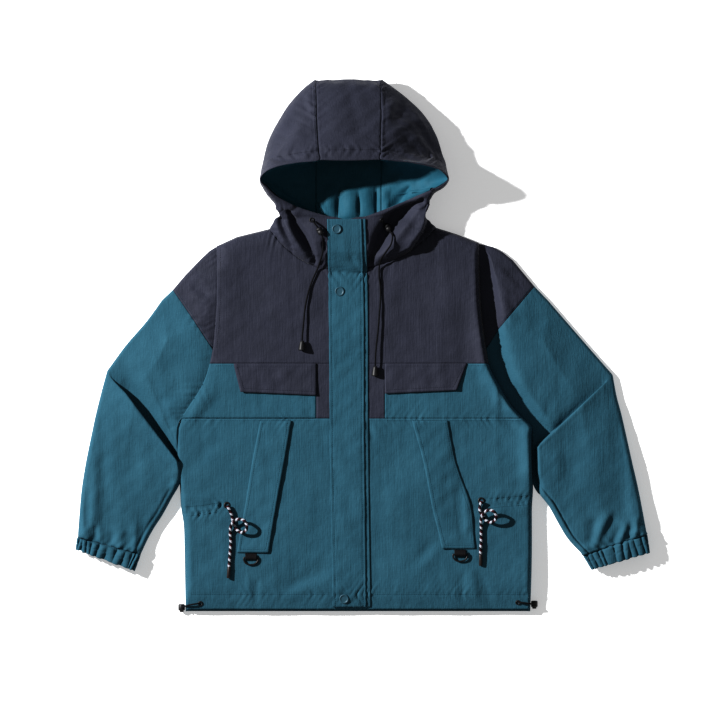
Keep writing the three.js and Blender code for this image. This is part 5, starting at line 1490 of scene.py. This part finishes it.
def lathe(name, profile, material, at, axis=(0, 0, 1), segments=36, flutes=0, flute_depth=0.0):
    """A turned piece from its half section, round an axis through a place in the draft."""
    profile = np.asarray(profile, float)
    closed = np.allclose(profile[0], profile[-1])
    if closed:
        profile = profile[:-1]
    a = np.arange(segments) / segments * TURN
    r = profile[:, :1] * np.ones(segments)
    if flutes:
        grip = clamp(np.sin(profile[:, 1:] / max(profile[:, 1].max(), 1e-6) * math.pi))
        r = r - flute_depth * grip * (0.5 + 0.5 * np.cos(a * flutes)) * (profile[:, :1] > 2)
    ring = np.stack([r * np.cos(a), r * np.sin(a), np.repeat(profile[:, 1:], segments, 1)], -1)
    verts = ring.reshape(-1, 3) @ turn_to(axis).T + np.asarray(at, float)
    obj = new_mesh(name, place(verts), grid_faces(len(profile), segments, closed, True), material)
    mesh = bmesh.new()
    mesh.from_mesh(obj.data)
    bmesh.ops.remove_doubles(mesh, verts=mesh.verts, dist=1e-6)
    bmesh.ops.recalc_face_normals(mesh, faces=mesh.faces)
    mesh.to_mesh(obj.data)
    mesh.free()
    return obj


def hard(obj, node_name, body="root"):
    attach(obj, body)
    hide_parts(node_name)


class Cloth:
    """The garment's outer faces, to find what lies beneath a place."""

    def __init__(self, prefixes):
        bpy.context.view_layer.update()
        graph = bpy.context.evaluated_depsgraph_get()
        self.trees = [BVHTree.FromObject(o, graph) for o in bpy.data.objects
                      if o.name.startswith(prefixes)]

    def hit(self, x, y):
        px, py, _ = place((x, y, 0))
        best, normal = 0.0, Vector((0, 0, 1))
        for tree in self.trees:
            spot, n, _, _ = tree.ray_cast(Vector((px, py, 0.5)), Vector((0, 0, -1)))
            if spot is not None and spot.z > best:
                best, normal = spot.z, n
        return best * 1000, normal

    def top(self, x, y):
        return self.hit(x, y)[0]

    def slope(self, x, y, reach=4.0):
        """The normal of the cloth round a place, its small folds levelled."""
        dx = (self.top(x + reach, y) - self.top(x - reach, y)) / (2 * reach)
        dy = (self.top(x, y + reach) - self.top(x, y - reach)) / (2 * reach)
        return Vector((-dx, -dy, 1)).normalized()


def catmull(points, step=1.2):
    """A smooth line through points, in short even steps."""
    p = np.asarray(points, float)
    grid, _ = through_rows(p[:, None, :], step)
    line = grid[:, 0]
    length = np.linalg.norm(np.diff(line, axis=0), axis=1).sum()
    return even(line, max(int(length / step), 8)), length


def tube(name, line, radius, material, sides=14):
    """A round tube along a line in the draft, capped, with its length and turn as its UV."""
    line = np.asarray(line, float)
    tangent = np.gradient(line, axis=0)
    tangent /= np.linalg.norm(tangent, axis=1, keepdims=True)
    side = np.cross(tangent[0], (0.3, 0.1, 1.0))
    frames = []
    for t in tangent:
        side = side - t * np.dot(side, t)
        side /= np.linalg.norm(side)
        frames.append((side.copy(), np.cross(t, side)))
    side, other = (np.array(f) for f in zip(*frames))
    a = np.arange(sides) / sides * TURN
    ring = np.cos(a)[None, :, None] * side[:, None] + np.sin(a)[None, :, None] * other[:, None]
    ring = line[:, None] + radius * ring
    run = travelled(line)
    verts = np.concatenate([ring.reshape(-1, 3), line[[0, -1]] + tangent[[0, -1]] * ((-0.3,), (0.3,))])
    rows = len(line)
    obj = new_mesh(name, place(verts), grid_faces(rows, sides, ring=True), material)
    j, i = np.meshgrid(np.arange(rows - 1), np.arange(sides), indexing="ij")
    mesh = obj.data
    uv = mesh.uv_layers.new(name="along")
    u = np.stack([run[j], run[j], run[j + 1], run[j + 1]], -1)
    v = np.stack([i, i + 1, i + 1, i], -1) / sides
    uv.data.foreach_set("uv", np.stack([u, v], -1).astype(np.float32).ravel())
    edit = bmesh.new()
    edit.from_mesh(mesh)
    edit.verts.ensure_lookup_table()
    for k, base in ((0, 0), (1, (rows - 1) * sides)):
        tip = edit.verts[rows * sides + k]
        for spoke in range(sides):
            b, c = edit.verts[base + spoke], edit.verts[base + (spoke + 1) % sides]
            edit.faces.new((tip, c, b) if k == 0 else (tip, b, c)).smooth = True
    edit.to_mesh(mesh)
    edit.free()
    return obj


def make_snaps(cloth):
    for k, (x, y) in enumerate(SNAPS, 1):
        n = cloth.slope(x, y, 6)
        at = np.array((x, y, cloth.top(x, y) + 0.2))
        obj = lathe(f"shell_snap_{k}", SNAP_SECTION, SNAP, at, n, 48)
        hard(obj, f"snap_{k}")


def eyelet(kind, side, cloth, x, y, outer):
    inner = outer * 0.52
    profile = [(inner, 0.2), (outer - 0.4, 0), (outer, 0.5), (outer - 0.5, 1.2),
               ((outer + inner) / 2, 1.7),
               (inner + 0.4, 1.3), (inner, 0.8), (inner, 0.2)]
    n = cloth.slope(x, y)
    at = np.array((x, y, cloth.top(x, y))) + np.array(n) * 0.3
    ring = lathe(f"shell_{kind}_eyelet_{side}", profile, BLACK, at, n, 32)
    hard(ring, f"{kind}_eyelet_{side}")


def cord_line(cloth, route, radius):
    points = [(x, y, cloth.top(x, y) + up + radius) for x, y, up in route]
    return catmull(points)


def declare(obj, node_name):
    hard(obj, node_name)


def end_axis(line):
    d = line[-1] - line[-3]
    return d / np.linalg.norm(d)


RING_WIDTH, RING_DEPTH, TAB_WIDTH = 28.0, 14.0, 20.0
WIRE_SIDES = 14


def ring_wire(name, at, material):
    """A D-shaped ring of round wire: a straight bar along x and a bow towards the hem."""
    half = RING_WIDTH / 2 - WIRE_R
    a = np.linspace(0, math.pi, 49)
    bow = np.column_stack([half * np.cos(a), -(RING_DEPTH - WIRE_R) * np.sin(a) ** 0.75])
    bar = np.column_stack([np.linspace(-half, half, 14)[1:-1], np.zeros(12)])
    line = np.concatenate([bow, bar])
    ahead, behind = np.roll(line, -1, 0), np.roll(line, 1, 0)
    side = np.column_stack([ahead[:, 1] - behind[:, 1], behind[:, 0] - ahead[:, 0]])
    side /= np.linalg.norm(side, axis=1, keepdims=True)
    turn = np.arange(WIRE_SIDES) / WIRE_SIDES * TURN
    xy = line[:, None] + side[:, None] * (np.cos(turn) * WIRE_R)[None, :, None]
    z = np.broadcast_to(np.sin(turn) * WIRE_R, xy.shape[:2])
    verts = np.concatenate([xy, z[..., None]], -1).reshape(-1, 3) + at
    faces = grid_faces(len(line), WIRE_SIDES, True, True)[:, [0, 3, 2, 1]]
    return new_mesh(name, place(verts), faces, material)


def make_rings():
    """Webbing tabs: a tongue from under the pocket flap, folded round the ring's bar."""
    for side in SIDES:
        low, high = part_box(f"dring_{side}")
        at = np.array([(low.x + high.x) * 500, high.y * 1000 - WIRE_R, (low.z + high.z) * 500]) - SHIFT
        hard(ring_wire(f"shell_dring_{side}", at, METAL), f"dring_{side}",
             f"dring_{side}")
        low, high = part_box(f"dring_tab_{side}")
        end = high.y * 1000 - SHIFT[1]
        bore, thick = WIRE_R + 0.7, 1.3
        a = np.linspace(-QUARTER, QUARTER, 15)[::-1]
        loop = np.column_stack([at[1] - bore * np.cos(a), at[2] + bore * np.sin(a)])
        back = np.array([(end, at[2] - bore), ((end + at[1]) / 2, at[2] - bore)])
        front = np.array([(at[1] + bore + 3.4, at[2] - bore + thick + 0.1), (at[1] + 3.2, at[2] - 0.2),
                          (at[1] + 1.8, at[2] + bore * 0.8)])
        line = np.concatenate([front, loop, back[::-1]])
        line = catmull(np.column_stack([np.zeros(len(line)), line]), 0.8)[0][:, 1:]
        u = np.linspace(-TAB_WIDTH / 2, TAB_WIDTH / 2, 21)
        x = np.broadcast_to(at[0] + u, (len(line), len(u)))
        y = np.broadcast_to(line[:, :1], x.shape)
        z = line[:, 1:] + 0.12 * np.cos(u * 2.4)[None]
        grid = np.stack([x, y, z], -1)
        obj = wall(f"shell_ring_tab_{side}", grid, 0.0, thick, WEBBING, flip=True)
        hard(obj, f"dring_tab_{side}")


def make_cords():
    cloth = Cloth(UNDER_CORDS)
    make_snaps(cloth)
    make_rings()
    for side in SIDES:
        (x, y, _), *_ = route = WAIST_CORD[side]
        eyelet("waist", side, cloth, x - 1, y + 1, 6)
        line, length = cord_line(cloth, route, WAIST_CORD_R)
        cord = tube(f"waist_lace_{side}", line, WAIST_CORD_R, PARACORD)
        tip = lathe(f"waist_aglet_{side}", TIP_SECTION, AGLET, line[-1], end_axis(line))
        hard(tip, f"waist_tip_{side}")
        declare(cord, f"waist_cord_{side}")

        (x, y, _), *_ = route = HOOD_CORD[side]
        eyelet("hood", side, cloth, x - 1, y + 1, 4.5)
        line, length = cord_line(cloth, route, HOOD_CORD_R)
        cord = tube(f"hood_elastic_{side}", line, HOOD_CORD_R, ELASTIC, 12)
        k = int(LOCK_ALONG / length * (len(line) - 1))
        lock = lathe(f"hood_lock_{side}", LOCK_SECTION, BLACK, line[k], line[k + 1] - line[k - 1])
        hard(lock, f"cord_lock_{side}")
        bell = lathe(f"hood_bell_{side}", BELL_SECTION, BLACK, line[-1], end_axis(line))
        hard(bell, f"bell_{side}")
        declare(cord, f"hood_cord_{side}")

        (x, y, _), *_ = route = HEM_CORD[side]
        eyelet("hem", side, cloth, x - OUT[side], y, 4.5)
        line, length = catmull(route)
        cord = tube(f"hem_elastic_{side}", line, HOOD_CORD_R, ELASTIC, 12)
        lock = lathe(f"hem_stopper_{side}", STOPPER_SECTION, BLACK, (*HEM_LOCK[side], HEM_LOCK_R + 0.2),
                     (0, 1, 0), 36, 18, 0.35)
        hard(lock, f"hem_lock_{side}")
        declare(cord, f"hem_cord_{side}")


# ------------------------------------------------------------------ stitches
STITCH, STITCH_PITCH, THREAD_R = 2.3, 3.3, 0.34
THREAD = {
    "teal_cloth": cloth_material("teal_thread", srgb(36, 70, 84), srgb(28, 58, 72), 0.7, 0.0),
    "navy_cloth": cloth_material("navy_thread", srgb(34, 35, 43), srgb(26, 27, 34), 0.6, 0.0),
}


def beside(points, by):
    """A plan line moved sideways, to its left for a positive distance."""
    p = np.asarray(points, float)[:, :2]
    run = np.gradient(p, axis=0)
    run /= np.maximum(np.linalg.norm(run, axis=1, keepdims=True), 1e-6)
    return p + np.column_stack([-run[:, 1], run[:, 0]]) * by


def stitch_lines():
    """The plan lines of the stitches on the teal and the navy cloth."""
    teal, navy = [], []
    ys = PLACKET[:, 0]
    teal += [np.column_stack([PLACKET[:, 1] + 5, ys]), np.column_stack([PLACKET[:, 2] - 5, ys])]
    for side in SIDES:
        out, inner = OUT[side], BAND_X[side]
        edge = float(EDGE[side](MID_SEAM_Y))
        teal += [np.array([(edge - out * 4, MID_SEAM_Y - 4), (inner, MID_SEAM_Y - 4)])]
        wide = float(EDGE[side](HEM_STITCH_Y)) - out * 8
        teal += [np.array([(wide, HEM_STITCH_Y), (-44 if side == "left" else 28, HEM_STITCH_Y)])]
        wide = float(EDGE[side](YOKE_Y - 4)) - out * 10
        teal += [np.array([(wide, YOKE_Y - 4), (CHEST_FLAP[side][0], YOKE_Y - 4)])]
        flap = POCKET_FLAP[side]
        free = np.column_stack([flap[:, 2] + out * 6, flap[:, 0]])
        sewn = np.column_stack([flap[:, 1] - out * 5, flap[:, 0]])
        free[0, 1] += 6
        teal += [np.concatenate([[sewn[0] + (0, 6)], free]), sewn]
        top, bottom, outer_y, inner_y = CHEST_FLAP[side]
        navy += [np.array([(top - out * 6, YOKE_Y - 4), (bottom - out * 6, outer_y + 6),
                           (inner, inner_y + 6)])]
        face = HOOD_ROWS[side][BRIM_ROW:TIP_ROW + 1, :2]
        navy += [beside(face, out * BRIM_BAND), beside(HOOD_ROWS[side][:BRIM_ROW + 1, :2], out * 4)]
        teal += [beside(CAP_SEAM[side], out * 4)]
        first, last = CUFF[side][0][:2], CUFF[side][0][2:]
        teal += [beside(np.array([first, last]), -out * 4)]
        above = armhole_line(side)
        navy += [above[above[:, 1] > YOKE_Y + 8] - (out * 7, 0)]
    teal += [np.array([(-312, 184), (-275, 187), (-236, 193)]),
             np.array([(-313, 168), (-275, 170), (-240, 177)]),
             np.array([(312, 206), (270, 202), (232, 200)]),
             np.array([(313, 189), (270, 186), (236, 183)])]
    brim = np.array([HOOD_ROWS["left"][BRIM_ROW, :2], HOOD_ROWS["right"][BRIM_ROW, :2]])
    navy += [beside(brim, BRIM_BAND)]
    return {"teal_cloth": teal, "navy_cloth": navy}


def make_stitches():
    """Lockstitches along the seams: short lengths of thread laid on the cloth."""
    cloth = Cloth(UNDER_CORDS + ("shell_sleeve",))
    for slot, lines in stitch_lines().items():
        verts = []
        for line in lines:
            path = Polyline(line)
            mids = np.arange(STITCH_PITCH, path.length - STITCH_PITCH, STITCH_PITCH)
            for s in mids:
                ends = path.at(np.array([s - STITCH / 2, s + STITCH / 2]) / path.length)
                low = [cloth.top(*e) for e in ends]
                if min(low) < 4 or abs(low[0] - low[1]) > 1.6:
                    continue
                step = ends[1] - ends[0]
                wide = np.array([-step[1], step[0]]) / np.linalg.norm(step) * THREAD_R
                for e, z in zip(ends, low):
                    verts += [(*(e - wide), z - 0.2), (*(e + wide), z - 0.2), (*e, z + THREAD_R)]
        verts = np.array(verts)
        base = np.arange(0, len(verts), 6)[:, None]
        prism = ((0, 1, 4), (0, 4, 3), (1, 2, 5), (1, 5, 4), (2, 0, 3), (2, 3, 5), (0, 2, 1), (3, 4, 5))
        faces = np.concatenate([base + np.array([corner]) for corner in prism])
        obj = new_mesh("stitches_" + slot.split("_")[0], place(verts), faces, THREAD[slot])
        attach(obj, "root")


# ------------------------------------------------------------------ stage
LAMP = (-2645, 1414, 1900)  # in the draft
LAMP_POWER = 90.0
FILL = 0.27
VIEW_GAMMA = 0.70
LENS, SENSOR = 300.0, 36
VIEW_CENTRE, VIEW_ACROSS = (7.1, 444.3), 1.2744  # looked at in the draft; metres across


def make_stage():
    floor = new_mesh("floor", [(-6, -6, -0.0006), (6, -6, -0.0006), (6, 6, -0.0006), (-6, 6, -0.0006)],
                     [(0, 1, 2, 3)], FLOOR)
    lamp = bpy.data.objects.new("key", bpy.data.lights.new("key", "POINT"))
    lamp.location = place(LAMP)
    lamp.data.energy = LAMP_POWER
    lamp.data.shadow_soft_size = 0.07
    lamp.visible_camera = False
    lamp.data.use_nodes = True
    tree = lamp.data.node_tree
    steady = node(tree, "LightFalloff", Strength=1.0)
    tree.links.new(steady.outputs["Constant"], tree.nodes["Emission"].inputs["Strength"])
    scene = bpy.context.scene
    scene.collection.objects.link(lamp)
    scene.world = bpy.data.worlds.new("studio")
    scene.world.use_nodes = True
    sky = scene.world.node_tree.nodes["Background"]
    sky.inputs["Color"].default_value = (1, 1, 1, 1)
    sky.inputs["Strength"].default_value = FILL
    scene.view_settings.view_transform = "Standard"
    scene.view_settings.gamma = VIEW_GAMMA
    camera = bpy.data.objects.new("camera", bpy.data.cameras.new("camera"))
    camera.data.lens = LENS
    camera.data.sensor_width = SENSOR
    x, y, _ = place((*VIEW_CENTRE, 0))
    camera.location = (x, y, VIEW_ACROSS / SENSOR * LENS)
    camera.data.clip_end = 100
    scene.collection.objects.link(camera)
    scene.camera = camera


make_stage()
make_back()
make_fronts()
make_placket()
make_flaps()
make_hood()
for side in SIDES:
    make_sleeve(side)
make_cords()
make_stitches()
